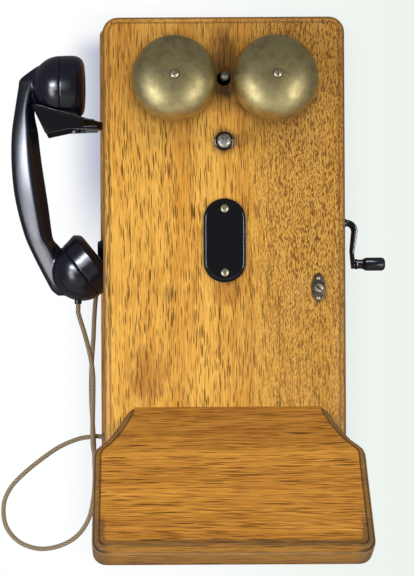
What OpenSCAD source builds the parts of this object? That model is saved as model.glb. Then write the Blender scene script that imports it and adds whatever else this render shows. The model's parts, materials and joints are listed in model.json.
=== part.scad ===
// Wall-hung magneto telephone with an oak case, a hinged front, two gongs and a corded handset.
// +X is the right-hand side, +Y points into the wall and +Z is up. The origin is the centre
// of the backboard's rear face, which lies flat on the wall. Lengths are in millimetres.

/* [Case] */
// Width across the outside of the case sides
case_w = 194; // [184:1:204]
// Height of the case sides
case_h = 460; // [440:1:470]
// Depth from the wall to the front edges of the case sides
case_d = 121; // [115:1:140]
// Thickness of the case boards
wall_t = 10; // [8:0.5:11]
// Overhang of the backboard past each side of the case
back_lap_x = 18; // [14:0.5:34]
// Overhang of the backboard past the top and the bottom of the case
back_lap_z = 26; // [22:0.5:40]
// Thickness of the backboard
back_t = 16; // [12:1:20]
// Corner radius of the backboard
back_r = 8; // [3:1:20]
// Number of fingers along each corner joint of the case
joint_fingers = 9; // [5:2:13]
// Distance between the wall screw holes across the backboard
wall_hole_dx = 150; // [100:1:180]
// Distance of the wall screw holes from the top and bottom of the backboard
wall_hole_inset = 9; // [7:0.5:11]
// Diameter of the wall screw holes
wall_hole_d = 5; // [4:0.5:6]

/* [Door] */
// Overhang of the door past each side of the case
door_lap_x = 11.5; // [10:0.5:18]
// Overhang of the door past the top and the bottom of the case
door_lap_z = 11.5; // [5:0.5:12]
// Thickness of the door
door_t = 19; // [17:0.5:22]
// Corner radius of the door
door_r = 14; // [9:1:20]
// Width of the moulded edge of the door and the writing shelf
mould_w = 6; // [4:0.5:8]
// Gap between the closed door and the case
seam_gap = 0.3; // [0.2:0.1:0.5]

/* [Hinges and lock] */
// Radius of the hinge knuckles
knuckle_r = 3.2; // [3:0.1:3.4]
// Radius of the hinge pins
hinge_pin_r = 1.6; // [1.3:0.1:1.8]
// Height of each hinge
hinge_h = 60; // [40:1:80]
// Height of each hinge's middle above or below the middle of the case
hinge_z = 165; // [140:1:185]
// Thickness of the hinge leaves
leaf_t = 1.2; // [1:0.1:1.6]
// Distance of the lock from the inside of the case
lock_inset = 3.5; // [3.3:0.1:8]
// Height of the lock
lock_z = -1.8; // [-20:0.1:20]
// Width of the lock plate
lock_plate_w = 13; // [12:0.5:16]
// Height of the lock plate
lock_plate_h = 26; // [24:0.5:32]
// Radius of the lock barrel's slotted head
barrel_r = 3.75; // [3.2:0.05:4]
// Radius of the lock spindle behind the head
spindle_r = 2.5; // [2:0.1:2.6]

/* [Gongs and ringer] */
// Diameter of each gong
gong_d = 76; // [66:1:80]
// Height of each gong from its rim to its top
gong_h = 25; // [20:0.5:30]
// Thickness of the gong metal
gong_t = 2; // [1.5:0.1:2.5]
// Gap between the two gong rims
gong_gap = 13.4; // [12.6:0.1:16]
// Distance of the gongs' middles below the top of the door
gong_drop = 57.5; // [52:0.5:62]
// Distance from the door to the gong rims
gong_lift = 11; // [8:0.5:14]
// Diameter of the clapper ball
ball_d = 8.3; // [7:0.1:8.4]
// Height of the clapper ball above the gongs' middles
clapper_rise = 1.6; // [-2:0.1:3]
// Diameter of the clapper hole in the door
clapper_hole_d = 13; // [11:0.5:15]
// Radius of the ringer coils
coil_r = 11; // [9:0.5:12]
// Length of the ringer coils
coil_l = 42; // [34:1:46]

/* [Push button and plate] */
// Height of the push button
button_z = 129.6; // [110:0.1:132]
// Diameter of the push button
button_d = 12.5; // [10:0.5:14]
// Diameter of the ring round the push button
ring_d = 17; // [16.5:0.5:22]
// Travel of the push button
button_travel = 3; // [2:0.5:4]
// Width of the blanking plate
plate_w = 38; // [30:1:46]
// Height of the blanking plate
plate_h = 75; // [66:1:90]
// Height of the plate's middle
plate_z = 40.8; // [30:0.1:50]
// Thickness of the plate's rim
plate_t = 2.4; // [1.5:0.1:4]
// Distance between the plate's two screws
plate_screw_dz = 57; // [44:1:60]

/* [Writing shelf] */
// Width of the writing shelf
shelf_w = 238; // [220:1:250]
// Width of the shelf's top edge
shelf_top_w = 180; // [160:1:200]
// Length of the shelf down its slope
shelf_l = 139.5; // [120:0.5:150]
// Thickness of the shelf
shelf_t = 26; // [18:1:28]
// Angle between the shelf and the door
shelf_slope = 36; // [30:1:45]
// Height of the shelf's top edge
shelf_z = -107.5; // [-120:0.5:-90]
// Sideways place of the shelf
shelf_x = 2; // [-4:0.5:4]
// Length down the slope of the cut corners
shelf_clip = 46; // [36:1:56]
// Radius of the shelf's lower corners
shelf_r = 12; // [9:1:16]
// Distance of each bracket from the shelf's middle
bracket_x = 70; // [40:1:80]

/* [Hook] */
// Height of the hook's pivot
hook_z = 152.6; // [150:0.1:155]
// Height of the hook's stem
hook_stem_h = 6.4; // [5:0.2:7]
// Width of the hook's stem
hook_stem_w = 9; // [7:0.5:10]
// Radius of the hook's pivot pin
hook_pin_r = 2.5; // [2:0.1:2.8]
// Half of the gap between the two prongs
prong_gap = 17; // [16:0.5:18]
// Thickness of each prong
prong_t = 4; // [3:0.5:5]
// Rise of the hook's outer end in degrees
hook_rise = 8; // [4:1:9]

/* [Handset] */
// Radius of the ear cup at its seam
ear_r = 29.7; // [29:0.1:30.5]
// Radius of the mouth cup at its seam
mouth_r = 28.9; // [28:0.1:29.5]
// Depth of the cups behind their seams
bowl_d = 28; // [26:0.5:30]
// Tilt of the mouth cup from the vertical, in degrees
mouth_tilt = 52; // [50:1:54]
// Front-to-back depth of the handle at its middle
handle_d = 27; // [24:0.5:28]
// Radius of the room for each capsule
capsule_r = 22; // [18:0.5:22.5]

/* [Crank and generator] */
// Height of the crank shaft
crank_z = 59.8; // [50:0.1:66]
// Radius of the crank shaft
shaft_r = 4; // [3.5:0.1:4.5]
// Radius of the crank's bent rod
rod_r = 3.2; // [2.8:0.1:3.4]
// Distance from the shaft to the grip's middle
crank_throw = 39.3; // [34:0.1:44]
// Distance of the crank arm from the side of the case
crank_reach = 31; // [27:0.5:37]
// Length of the grip
grip_l = 28.5; // [22:0.5:34]
// Radius of the grip's body
grip_r = 6.3; // [5.5:0.1:7]
// Gear tooth size, the pitch diameter of one tooth
gear_module = 1; // [0.9:0.05:1.05]
// Teeth on the drive gear
gear_teeth = 72; // [72:4:76]
// Teeth on the armature's pinion
pinion_teeth = 15; // [15:1:16]
// Radius of the armature
armature_r = 15; // [12:0.5:15.5]
// Number of horseshoe magnets
magnet_count = 4; // [3:1:5]

/* [Cord] */
// Diameter of the braided cord
cord_d = 4.5; // [4:0.1:5]

/* [Hidden] */
$fn = 48;

// Clearances
fit = 0.05;
air = 0.3;

// Planes and middles that several pieces share
back_w = case_w + 2 * back_lap_x;
back_h = case_h + 2 * back_lap_z;
wall_hole_dz = back_h - 2 * wall_hole_inset;
door_w = case_w + 2 * door_lap_x;
door_h = case_h + 2 * door_lap_z;
gong_z = door_h / 2 - gong_drop;
clapper_z = gong_z + clapper_rise;
side_x = case_w / 2;
inner_x = side_x - wall_t;
back_face = -back_t;
seam_y = -case_d;
door_back = seam_y - seam_gap;
door_front = door_back - door_t;
mid_y = -65;
joint_l = case_d - back_t;
finger_l = joint_l / joint_fingers;

hinge_x = -side_x - knuckle_r - 0.8;
hinge_y = seam_y + knuckle_r + 0.2;
knuckles = 5;
knuckle_l = hinge_h / knuckles;
leaf_y0 = hinge_y + knuckle_r + 0.2;
leaf_w = 20;
leaf_y1 = leaf_y0 + leaf_w;

lock_x = inner_x - lock_inset;
lock_plate_t = 1.4;
lock_boss_h = 1.4;
lock_screw_dz = lock_plate_h / 2 - 4.2;
lock_head_l = 8;
cam_t = 3;
cam_w = 5;
cam_l = 9.5;
cam_y = seam_y + 1.8;
strike_t = 1;
strike_h = 24;
strike_w = 14;

gong_x = (gong_d + gong_gap) / 2;
gong_rim_y = door_front - gong_lift;
gong_flat_r = 6;
gong_screw_r = 1.6;

coil_x = 19;
core_r = 4;
ringer_plate_t = 3;
armature_bar_t = 4;
coil_back = door_back + ringer_plate_t;
armature_gap = 3;
armature_y = coil_back + coil_l + armature_gap + armature_bar_t / 2;
ringer_pivot_r = 1.5;
clapper_rod_r = 1.2;
clapper_foot_y = armature_y - 1.9;
ringer_arm_z = 9;

button_r = button_d / 2;
sleeve_r = button_r + 1;
sleeve_l = 14;
stem_r = 2;

shelf_back_z = shelf_z - shelf_t / sin(shelf_slope);
bracket_leg = 62;
bracket_run = 71;
bracket_t = 3;
bracket_w = 18;
bracket_web_t = 4;
bracket_web_gap = 6;
bracket_arch_r = 24;
bracket_screw_dx = 5.5;
bracket_screws_at = [22, 50];

eye_t = 3;
eye_r = 4.4;
arm_lean = 2.5;
arm_end_r = 2.5;
crank_x = side_x + crank_reach;
grip_x = crank_x + air;
grip_pin_r = 2.2;
grip_pin_l = grip_l - 5;

gear_centres = gear_module * (gear_teeth + pinion_teeth) / 2;
armature_z = crank_z - gear_centres;
pole_h = 17;
pole_w = 21;
magnet_t = 10;
base_t = 5;
gen_left = -46;
gen_right = 54;
end_plate_t = 4;
gear_x = 62;
gear_w = 7;
gen_floor = armature_z - pole_h - base_t;
gen_shelf_t = 12;
gear_shaft_r = 3;
arch_z = crank_z + 5;
arch_r = pole_w + magnet_t;

hook_pivot_x = -72;
hook_tail_x = -47;
hook_nose_h = 5;
ear_x = -side_x - 53.3;
ear_z = 190;
mouth_x = -side_x - 34.9;
mouth_z = 15.5;
cap_inner_r = 25;
cap_room = 13;
cap_face = 21.3;
capsule_l = 14;
rest_z = 35;

cell_r = 33;
cell_h = 160;
cell_x = 38;
cell_y = back_face - cell_r - 2;
floor_z = -case_h / 2 + wall_t;
ceiling_z = case_h / 2 - wall_t;

spool_x = -15;
spool_r = 12;
spool_l = 75;
spool_cheek = 30;
spool_cheek_t = 5;
condenser_w = 50;
condenser_h = 34;
condenser_d = 22;
condenser_x = -75;
post_z = 115;
post_pitch = 22;
post_count = 5;
post_r = 2;
post_nut_r = 4.2;
strip_h = 14;
strip_t = 10;

cord_y = -35;
cord_z = 8;
screw_r = 1.6;

// The handle's outline from the side of the case: height, outer edge, inner edge and the
// share of handle_d that it is deep there
handle_sections = [
  [-8, 57, 45, 0.45], [-3, 63, 39, 0.75], [6, 68, 41, 0.9], [17, 73.8, 45, 0.95],
  [27, 78.8, 50, 0.95], [38, 84, 55, 0.95], [45, 87, 61, 0.95], [54, 90, 63, 0.96],
  [72, 94.8, 65.3, 0.98], [91, 98.4, 68, 1], [111, 100.3, 71, 1], [130, 100.8, 73.5, 1],
  [148, 100, 75.5, 0.97], [165, 97.6, 78.5, 0.93], [180, 95.2, 77, 0.9],
  [190, 93.6, 73, 0.88], [197, 92.2, 68, 0.85], [204, 84, 65, 0.7], [210, 75.5, 61, 0.5]];

// One half of the handle's cross-section: place from the outer to the inner edge, and
// share of the half depth. The step near the inner edge is the handle's sharp ridge.
half_section = [
  [-1, 0], [-0.95, 0.42], [-0.74, 0.76], [-0.35, 0.96], [0.05, 1], [0.41, 0.97],
  [0.52, 0.72], [0.8, 0.42], [1, 0.24]];

// The shelf's cut corner, as shares of its width and of its length
clip_curve = [
  [0, 0], [0.03, 0.1], [0.2, 0.31], [0.42, 0.53], [0.6, 0.68], [0.8, 0.79], [0.94, 0.88],
  [1, 1]];

// Points along the middle of the handset cord, from the case to the handset. The first
// number is measured from the outside of the case's left side.
cord_line = [
  [4, -35, 8], [-2, -35, 8], [-8, -35, 8], [-15, -35, 5.5], [-20, -35, -1],
  [-22.5, -35, -12], [-24, -34, -30], [-25, -33, -50], [-26.5, -31, -70],
  [-27.5, -29, -90], [-27.5, -27, -111], [-26.5, -25, -132], [-25.5, -23.5, -152],
  [-25, -21, -172], [-25, -18, -192], [-27, -14, -212], [-32, -11, -231],
  [-43, -9, -247], [-60, -8, -257], [-81, -8, -260], [-101, -8, -253], [-114, -8, -237],
  [-116, -9, -216], [-109, -11, -199], [-95, -12, -184], [-77, -13, -169.5],
  [-59, -14.5, -157.5], [-41, -16, -150], [-26, -17.5, -147.5], [-18.5, -19.5, -147.5],
  [-11, -22, -151], [-7, -26, -159], [-10, -30, -167.5], [-17, -33.5, -170.5],
  [-23, -36, -165.5], [-25.5, -38, -156], [-26, -40, -142], [-25.5, -42, -122],
  [-25, -44.5, -103], [-25, -48, -84], [-27.5, -52.5, -65], [-32, -57, -46],
  [-36, -61.5, -32], [-38, -65, -24], [-38, -65, -20], [-38, -65, -16]];
cord_route = [for (p = cord_line) [p[0] - side_x, p[1], p[2]]];

oak = [0.72, 0.47, 0.21];
dark_oak = [0.62, 0.38, 0.16];
bakelite = [0.05, 0.05, 0.07];
aged_brass = [0.5, 0.42, 0.24];
bright_brass = [0.78, 0.62, 0.3];
steel = [0.55, 0.55, 0.56];
black_iron = [0.12, 0.12, 0.13];
silk_wire = [0.16, 0.36, 0.2];
cloth = [0.63, 0.53, 0.34];

function last(list) = list[len(list) - 1];
function unit(v) = v / norm(v);

// A rounded rectangle, counter-clockwise, drawn in by an inset
function rounded_rect(w, h, r, inset = 0, steps = 6) = [
  for (corner = [[1, -1, -90], [1, 1, 0], [-1, 1, 90], [-1, -1, 180]])
    for (i = [0:steps])
      let (a = corner[2] + 90 * i / steps)
        [corner[0] * (w / 2 - r) + (r - inset) * cos(a),
         corner[1] * (h / 2 - r) + (r - inset) * sin(a)]];

// Inset and height up a moulded edge: a square edge, a quarter round and a fillet
function moulding(t) =
  let (rise = mould_w - 1.6, foot = t - rise - 1)
    concat([[0, 0], [0, foot], [0.8, foot]],
           [for (a = [15:15:90]) [0.8 + rise * (1 - cos(a)), foot + rise * sin(a)]],
           [[0.8 + rise, t]]);

// The shelf's outline, counter-clockwise, drawn in by an inset on all but its top edge
function shelf_outline(inset) =
  let (top = shelf_top_w / 2,
       side = shelf_w / 2,
       right = concat(
         [for (i = [0:5])
           let (a = -90 + 18 * i)
             [side - shelf_r + (shelf_r - inset) * cos(a),
              shelf_r - shelf_l + (shelf_r - inset) * sin(a)]],
         [for (i = [len(clip_curve) - 1:-1:0])
           let (c = clip_curve[i])
             [top + (side - top) * c[0] - inset * (1.35 - 0.35 * c[0]),
              -(shelf_clip + 0.4 * inset) * c[1]]]))
    concat(right, [for (i = [len(right) - 1:-1:0]) [-right[i][0], right[i][1]]]);

// A ring of the handle at one section
function handle_ring(s) =
  let (middle = -side_x - (s[1] + s[2]) / 2,
       half = (s[1] - s[2]) / 2,
       depth = s[3] * handle_d / 2,
       front = [for (p = half_section) [middle + half * p[0], mid_y - depth * p[1], s[0]]],
       rear = [for (i = [len(half_section) - 1:-1:1])
         let (p = half_section[i])
           [middle + half * p[0], mid_y + depth * p[1], s[0]]])
    concat(front, rear);

// A point on a smooth curve through four points, from b to c
function curve_point(a, b, c, d, t) =
  0.5 * (2 * b + (c - a) * t + (2 * a - 5 * b + 4 * c - d) * t * t
         + (3 * b - a - 3 * c + d) * t * t * t);

function smooth_route(p) =
  let (n = len(p) - 1)
    concat([for (i = [0:n - 1], t = [0, 0.5])
             curve_point(p[max(i - 1, 0)], p[i], p[i + 1], p[min(i + 2, n)], t)],
           [p[n]]);

function tube_ring(p, i, r, sides) =
  let (n = len(p) - 1,
       along = unit(p[min(i + 1, n)] - p[max(i - 1, 0)]),
       u = unit(cross(along, [0, 1, 0])),
       v = cross(along, u))
    [for (k = [0:sides - 1]) p[i] + r * (cos(360 * k / sides) * u + sin(360 * k / sides) * v)];

// Half the angle that an involute tooth fills at radius r, in degrees
function involute(a) = tan(a) * 180 / PI - a;
function tooth_half(teeth, r) =
  let (pitch_r = gear_module * teeth / 2,
       base_r = pitch_r * cos(20))
    90 / teeth * 0.93 + involute(20) - (r > base_r ? involute(acos(base_r / r)) : 0);

// The outline of a spur gear with one tooth's middle at the angle turn
function gear_outline(teeth, turn) =
  let (pitch_r = gear_module * teeth / 2,
       radii = [pitch_r - 1.2 * gear_module, pitch_r, pitch_r + 0.85 * gear_module])
    [for (k = [0:teeth - 1], step = [0:5])
      let (r = radii[step < 3 ? step : 5 - step],
           a = turn + 360 * k / teeth + (step < 3 ? -1 : 1) * tooth_half(teeth, r))
        [r * cos(a), r * sin(a)]];

// A closed solid through rings of points, each ring counter-clockwise seen from the last
module loft(rings) {
  n = len(rings[0]);
  top = len(rings) - 1;
  polyhedron(
    points = [for (r = rings) each r],
    faces = concat(
      [[for (i = [0:n - 1]) i]],
      [for (k = [0:top - 1], i = [0:n - 1]) [k * n + i, (k + 1) * n + i, (k + 1) * n + (i + 1) % n]],
      [for (k = [0:top - 1], i = [0:n - 1]) [k * n + i, (k + 1) * n + (i + 1) % n, k * n + (i + 1) % n]],
      [[for (i = [n - 1:-1:0]) top * n + i]]));
}

// Children drawn upwards come out towards the front, the right or the left
module to_front(x, y, z) translate([x, y, z]) rotate([90, 0, 0]) children();
module to_right(x, y, z) translate([x, y, z]) rotate([0, 90, 0]) children();
module to_left(x, y, z) translate([x, y, z]) rotate([0, -90, 0]) children();

// A block between two corners
module block(low, high) translate(low) cube(high - low);

module both_sides() {
  children();
  mirror([1, 0, 0]) children();
}

// A slotted oval-head screw standing on the plane z = 0
module oval_screw(head_r, head_h, shank, shank_l, turn = 0) {
  difference() {
    rotate_extrude()
      polygon([[0, 0], [head_r, 0], [head_r * 0.97, head_h * 0.3], [head_r * 0.75, head_h * 0.72],
               [head_r * 0.4, head_h * 0.95], [0, head_h]]);
    rotate([0, 0, turn])
      translate([-head_r - 1, -head_r * 0.11, head_h * 0.5])
        cube([2 * head_r + 2, head_r * 0.22, head_h]);
  }
  translate([0, 0, -shank_l])
    cylinder(r = shank, h = shank_l);
}

// Fingers of a corner joint, every second length of the board's edge
module finger_cuts(first, x0, x1, z0, z1) {
  for (k = [first:2:joint_fingers - 1])
    block([x0, seam_y + k * finger_l, z0], [x1, seam_y + (k + 1) * finger_l, z1]);
}

// ---- Case ----

module rounded_plate(w, h, r, t)
  linear_extrude(t) {
    square([w - 2 * r, h], center = true);
    square([w, h - 2 * r], center = true);
    for (x = [-1, 1], y = [-1, 1])
      translate([x * (w / 2 - r), y * (h / 2 - r)])
        circle(r = r);
  }

module backboard() color(dark_oak)
  difference() {
    to_front(0, 0, 0)
      rounded_plate(back_w, back_h, back_r, back_t);
    for (x = [-1, 1], z = [-1, 1])
      to_front(x * wall_hole_dx / 2, 1, z * wall_hole_dz / 2)
        cylinder(d = wall_hole_d, h = back_t + 2);
  }

module side_board(side) {
  x0 = side > 0 ? inner_x : -side_x;
  difference() {
    block([x0, seam_y, -case_h / 2], [x0 + wall_t, back_face, case_h / 2]);
    for (z = [-1, 1])
      finger_cuts(1, x0 - 1, x0 + wall_t + 1,
                  z > 0 ? case_h / 2 - wall_t : -case_h / 2 - 1,
                  z > 0 ? case_h / 2 + 1 : -case_h / 2 + wall_t);
  }
}

module case_left_side() color(oak)
  difference() {
    side_board(-1);
    hook_slot();
    to_left(-inner_x + 1, cord_y, cord_z)
      cylinder(r = cord_d / 2 + 2 + fit, h = wall_t + 2);
    to_left(-inner_x + 1, mid_y, crank_z)
      cylinder(r = screw_r + fit, h = wall_t + 2);
    for (z = [-1, 1])
      hinge_leaf_recess(z * hinge_z);
  }

module hook_slot() {
  rise = hook_stem_h / 2 + (side_x + hook_pivot_x) * tan(hook_rise) + 1.5;
  block([-side_x - 1, mid_y - hook_stem_w / 2 - 0.6, hook_z - hook_stem_h / 2 - 1.2],
        [-inner_x + 3, mid_y + hook_stem_w / 2 + 0.6, hook_z + rise]);
}

module case_right_side() color(oak)
  difference() {
    side_board(1);
    to_right(inner_x - 1, mid_y, crank_z)
      cylinder(r = shaft_r + 3 + fit, h = wall_t + 2);
    strike_pocket();
    strike_recess();
  }

module lid_board(side) {
  z0 = side > 0 ? case_h / 2 - wall_t : -case_h / 2;
  difference() {
    block([-side_x, seam_y, z0], [side_x, back_face, z0 + wall_t]);
    both_sides()
      finger_cuts(0, inner_x, side_x + 1, z0 - 1, z0 + wall_t + 1);
  }
}

module case_top() color(oak)
  lid_board(1);

module case_bottom() color(oak)
  lid_board(-1);

module generator_shelf() color(oak)
  block([-inner_x, seam_y + 12, gen_floor - gen_shelf_t], [inner_x, back_face, gen_floor]);

// ---- Hinges ----

module knuckle_column(z, first, bore) {
  difference() {
    for (k = [first:2:knuckles - 1])
      translate([hinge_x, hinge_y, z - hinge_h / 2 + k * knuckle_l + (k == 0 ? 0 : air / 2)])
        cylinder(r = knuckle_r, h = knuckle_l - (k == 0 || k == knuckles - 1 ? air / 2 : air));
    translate([hinge_x, hinge_y, z - hinge_h / 2 - 1])
      cylinder(r = bore, h = hinge_h + 2);
  }
}

module knuckle_webs(z, first, low, high) {
  for (k = [first:2:knuckles - 1])
    block([low[0], low[1], z - hinge_h / 2 + k * knuckle_l + (k == 0 ? 0 : air / 2)],
          [high[0], high[1], z - hinge_h / 2 + (k + 1) * knuckle_l - (k == knuckles - 1 ? 0 : air / 2)]);
}

module hinge_leaf_recess(z)
  block([-side_x - 1, leaf_y0 - 1.2 - fit, z - hinge_h / 2 - fit],
        [-side_x + leaf_t, leaf_y1 + fit, z + hinge_h / 2 + fit]);

// The case leaves are let into the outside of the left-hand side board
module hinge_leaves_case() color(bright_brass)
  for (z = [-hinge_z, hinge_z]) {
    block([-side_x, leaf_y0, z - hinge_h / 2], [-side_x + leaf_t, leaf_y1, z + hinge_h / 2]);
    difference() {
      knuckle_webs(z, 0, [hinge_x, leaf_y0 - 1.2], [-side_x + leaf_t, leaf_y0 + 1.6]);
      translate([hinge_x, hinge_y, z - hinge_h / 2 - 1])
        cylinder(r = knuckle_r - 0.4, h = hinge_h + 2);
    }
    knuckle_column(z, 0, hinge_pin_r);
  }

module hinge_pins() color(steel)
  for (z = [-hinge_z, hinge_z])
    translate([hinge_x, hinge_y, z - hinge_h / 2])
      cylinder(r = hinge_pin_r, h = hinge_h);

// The door leaf is let into the back of the door
module hinge_leaves_door() color(bright_brass)
  for (z = [-hinge_z, hinge_z]) {
    difference() {
      union() {
        block([hinge_x - 1.5, door_back - leaf_t, z - hinge_h / 2],
              [hinge_x + leaf_w, door_back, z + hinge_h / 2]);
        knuckle_webs(z, 1, [hinge_x - 1.5, door_back - 0.01], [hinge_x + 1.5, hinge_y]);
      }
      translate([hinge_x, hinge_y, z - hinge_h / 2 - 1])
        cylinder(r = hinge_pin_r + fit, h = hinge_h + 2);
    }
    knuckle_column(z, 1, hinge_pin_r + fit);
  }

// ---- Lock ----

// Room for the cam's quarter turn
module strike_pocket()
  intersection() {
    to_front(lock_x, cam_y + cam_t + 0.6, lock_z)
      cylinder(r = norm([cam_l, cam_w / 2]) + 0.6, h = cam_t + 1.2);
    block([inner_x - 1, seam_y, lock_z - 2 * cam_l], [side_x, 0, lock_z + cam_w / 2 + 1]);
  }

module strike_recess()
  block([inner_x - 1, seam_y - 1, lock_z - strike_h / 2],
        [inner_x + strike_t, seam_y + strike_w, lock_z + strike_h / 2]);

module lock_strike() color(bright_brass)
  difference() {
    block([inner_x, seam_y, lock_z - strike_h / 2],
          [inner_x + strike_t, seam_y + strike_w, lock_z + strike_h / 2]);
    strike_pocket();
  }

module pointed_oval(w, h) {
  r = (w * w + h * h) / (4 * w);
  intersection() {
    translate([r - w / 2, 0]) circle(r = r);
    translate([w / 2 - r, 0]) circle(r = r);
  }
}

module lock_plate() color(black_iron)
  difference() {
    to_front(lock_x, door_front, lock_z)
      union() {
        linear_extrude(lock_plate_t)
          intersection() {
            pointed_oval(lock_plate_w, lock_plate_h + 3);
            square([lock_plate_w, lock_plate_h], center = true);
          }
        cylinder(r = barrel_r + 1.5, h = lock_plate_t + lock_boss_h);
      }
    to_front(lock_x, door_front + 1, lock_z)
      cylinder(r = barrel_r + fit, h = 10);
    for (z = [-lock_screw_dz, lock_screw_dz])
      to_front(lock_x, door_front + 1, lock_z + z)
        cylinder(r = 1 + fit, h = 10);
  }

module lock_plate_screws() color(steel)
  for (z = [-lock_screw_dz, lock_screw_dz])
    to_front(lock_x, door_front - lock_plate_t, lock_z + z)
      oval_screw(1.9, 1, 1, 10, 60);

// Slotted head and spindle of the lock, with the cam that turns into the strike
module lock_barrel() color(steel) {
  head_y = door_front - lock_plate_t - lock_boss_h - 0.6;
  difference() {
    to_front(lock_x, door_front + lock_head_l, lock_z)
      cylinder(r = barrel_r, h = door_front + lock_head_l - head_y);
    to_front(lock_x, head_y + 1.2, lock_z)
      rotate([0, 0, -45])
        translate([-barrel_r - 1, -0.7, 0])
          cube([2 * barrel_r + 2, 1.4, 3]);
  }
  to_front(lock_x, cam_y + cam_t, lock_z)
    cylinder(r = spindle_r, h = cam_y + cam_t - door_front - lock_head_l);
  block([lock_x - cam_w / 2, cam_y, lock_z - cam_l], [lock_x + cam_w / 2, cam_y + cam_t, lock_z]);
}

// ---- Door ----

module door_panel() color(oak)
  difference() {
    to_front(0, door_back, 0)
      loft([for (m = moulding(door_t))
        [for (p = rounded_rect(door_w, door_h, door_r, m[0])) [p[0], p[1], m[1]]]]);
    to_front(0, door_back + 1, clapper_z)
      cylinder(d = clapper_hole_d, h = door_t + 2);
    to_front(0, door_front + sleeve_l, button_z)
      cylinder(r = sleeve_r + fit, h = sleeve_l + 1);
    to_front(0, door_back + 1, button_z)
      cylinder(r = stem_r + 1, h = door_t + 2);
    to_front(lock_x, door_front + lock_head_l + air, lock_z)
      cylinder(r = barrel_r + fit, h = lock_head_l + 2);
    to_front(lock_x, door_back + 1, lock_z)
      cylinder(r = spindle_r + fit, h = door_t + 2);
    for (z = [-lock_screw_dz, lock_screw_dz])
      to_front(lock_x, door_front + 10, lock_z + z)
        cylinder(r = 1 + fit, h = 12);
    for (z = [-plate_screw_dz / 2, plate_screw_dz / 2])
      to_front(0, door_front + 12, plate_z + z)
        cylinder(r = screw_r + fit, h = 14);
    for (z = [-hinge_z, hinge_z])
      block([hinge_x - 1.5 - fit, door_back - leaf_t, z - hinge_h / 2 - fit],
            [hinge_x + leaf_w + fit, door_back + 1, z + hinge_h / 2 + fit]);
    door_screw_places()
      translate([0, 0, -12])
        cylinder(r = screw_r + fit, h = 14);
  }

// ---- Gongs and ringer ----

module gong(x) {
  r = gong_d / 2;
  outer = [for (a = [82.5:-7.5:0]) [r * pow(cos(a), 0.82), gong_h * pow(sin(a), 0.9)]];
  inner = [for (a = [0:7.5:75])
    [(r - gong_t) * pow(cos(a), 0.82), (gong_h - gong_t) * pow(sin(a), 0.9)]];
  to_front(x, gong_rim_y, gong_z)
    difference() {
      rotate_extrude($fn = 96)
        polygon(concat([[0, gong_h - gong_t], [0, gong_h]], outer, inner,
                       [[gong_flat_r, gong_h - gong_t]]));
      translate([0, 0, gong_h - 10])
        cylinder(r = gong_screw_r + 0.2, h = 12);
    }
}

module gong_left() color(aged_brass)
  gong(-gong_x);

module gong_right() color(aged_brass)
  gong(gong_x);

module gong_posts() color(steel)
  for (x = [-gong_x, gong_x])
    to_front(x, door_front, gong_z) {
      h = gong_lift + gong_h - gong_t;
      difference() {
        union() {
          cylinder(r = 9, h = 3);
          cylinder(r = 4.5, h = h);
        }
        translate([0, 0, h - 14])
          cylinder(r = gong_screw_r + fit, h = 15);
      }
    }

module gong_screws() color(bright_brass)
  for (x = [-gong_x, gong_x])
    to_front(x, gong_rim_y - gong_h, gong_z)
      oval_screw(4.2, 2.2, gong_screw_r, gong_t + 11, x < 0 ? 25 : 100);

module ringer_frame() color(steel) {
  to_front(0, coil_back, clapper_z) {
    difference() {
      translate([-coil_x - coil_r, -14, 0])
        cube([2 * (coil_x + coil_r), 28, ringer_plate_t]);
      translate([0, 0, -1])
        cylinder(d = clapper_hole_d, h = ringer_plate_t + 2);
    }
  }
  for (x = [-coil_x, coil_x])
    to_front(x, coil_back + coil_l, clapper_z)
      cylinder(r = core_r, h = coil_l);
  for (s = [-1, 1]) {
    z0 = clapper_z + (s > 0 ? ringer_arm_z : -ringer_arm_z - 2);
    block([-5, coil_back, z0], [5, armature_y + 5, z0 + 2]);
    translate([0, armature_y, clapper_z + s * 5 - (s < 0 ? ringer_arm_z - 5 : 0)])
      cylinder(r = ringer_pivot_r, h = ringer_arm_z - 5);
  }
}

module ringer_coils() color(silk_wire)
  for (x = [-coil_x, coil_x])
    to_front(x, coil_back + coil_l - 2, clapper_z)
      rotate_extrude()
        polygon([[core_r, 0], [coil_r, 0], [coil_r, 2], [coil_r - 1.5, 2],
                 [coil_r - 1.5, coil_l - 4], [coil_r, coil_l - 4], [coil_r, coil_l - 2],
                 [core_r, coil_l - 2]]);

module ringer_magnet() color(black_iron) {
  z0 = clapper_z + ringer_arm_z + 2;
  block([-6, coil_back, z0], [6, armature_y + 12, z0 + 3]);
  block([-6, armature_y + 9, clapper_z + 6], [6, armature_y + 12, z0]);
}

module ringer_armature() color(steel)
  difference() {
    union() {
      block([-28, armature_y - armature_bar_t / 2, clapper_z - 4.5],
            [28, armature_y + armature_bar_t / 2, clapper_z + 4.5]);
      translate([0, armature_y, clapper_z - 6.5])
        cylinder(r = 3.5, h = 13);
    }
    translate([0, armature_y, clapper_z - 10])
      cylinder(r = ringer_pivot_r + fit, h = 20);
    to_front(0, clapper_foot_y, clapper_z)
      cylinder(r = clapper_rod_r + fit, h = 4);
  }

module clapper() color(steel) {
  ball_y = gong_rim_y - 2.5;
  to_front(0, clapper_foot_y, clapper_z)
    cylinder(r = clapper_rod_r, h = clapper_foot_y - ball_y);
  translate([0, ball_y, clapper_z])
    sphere(d = ball_d);
}

// ---- Push button and blanking plate ----

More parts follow.
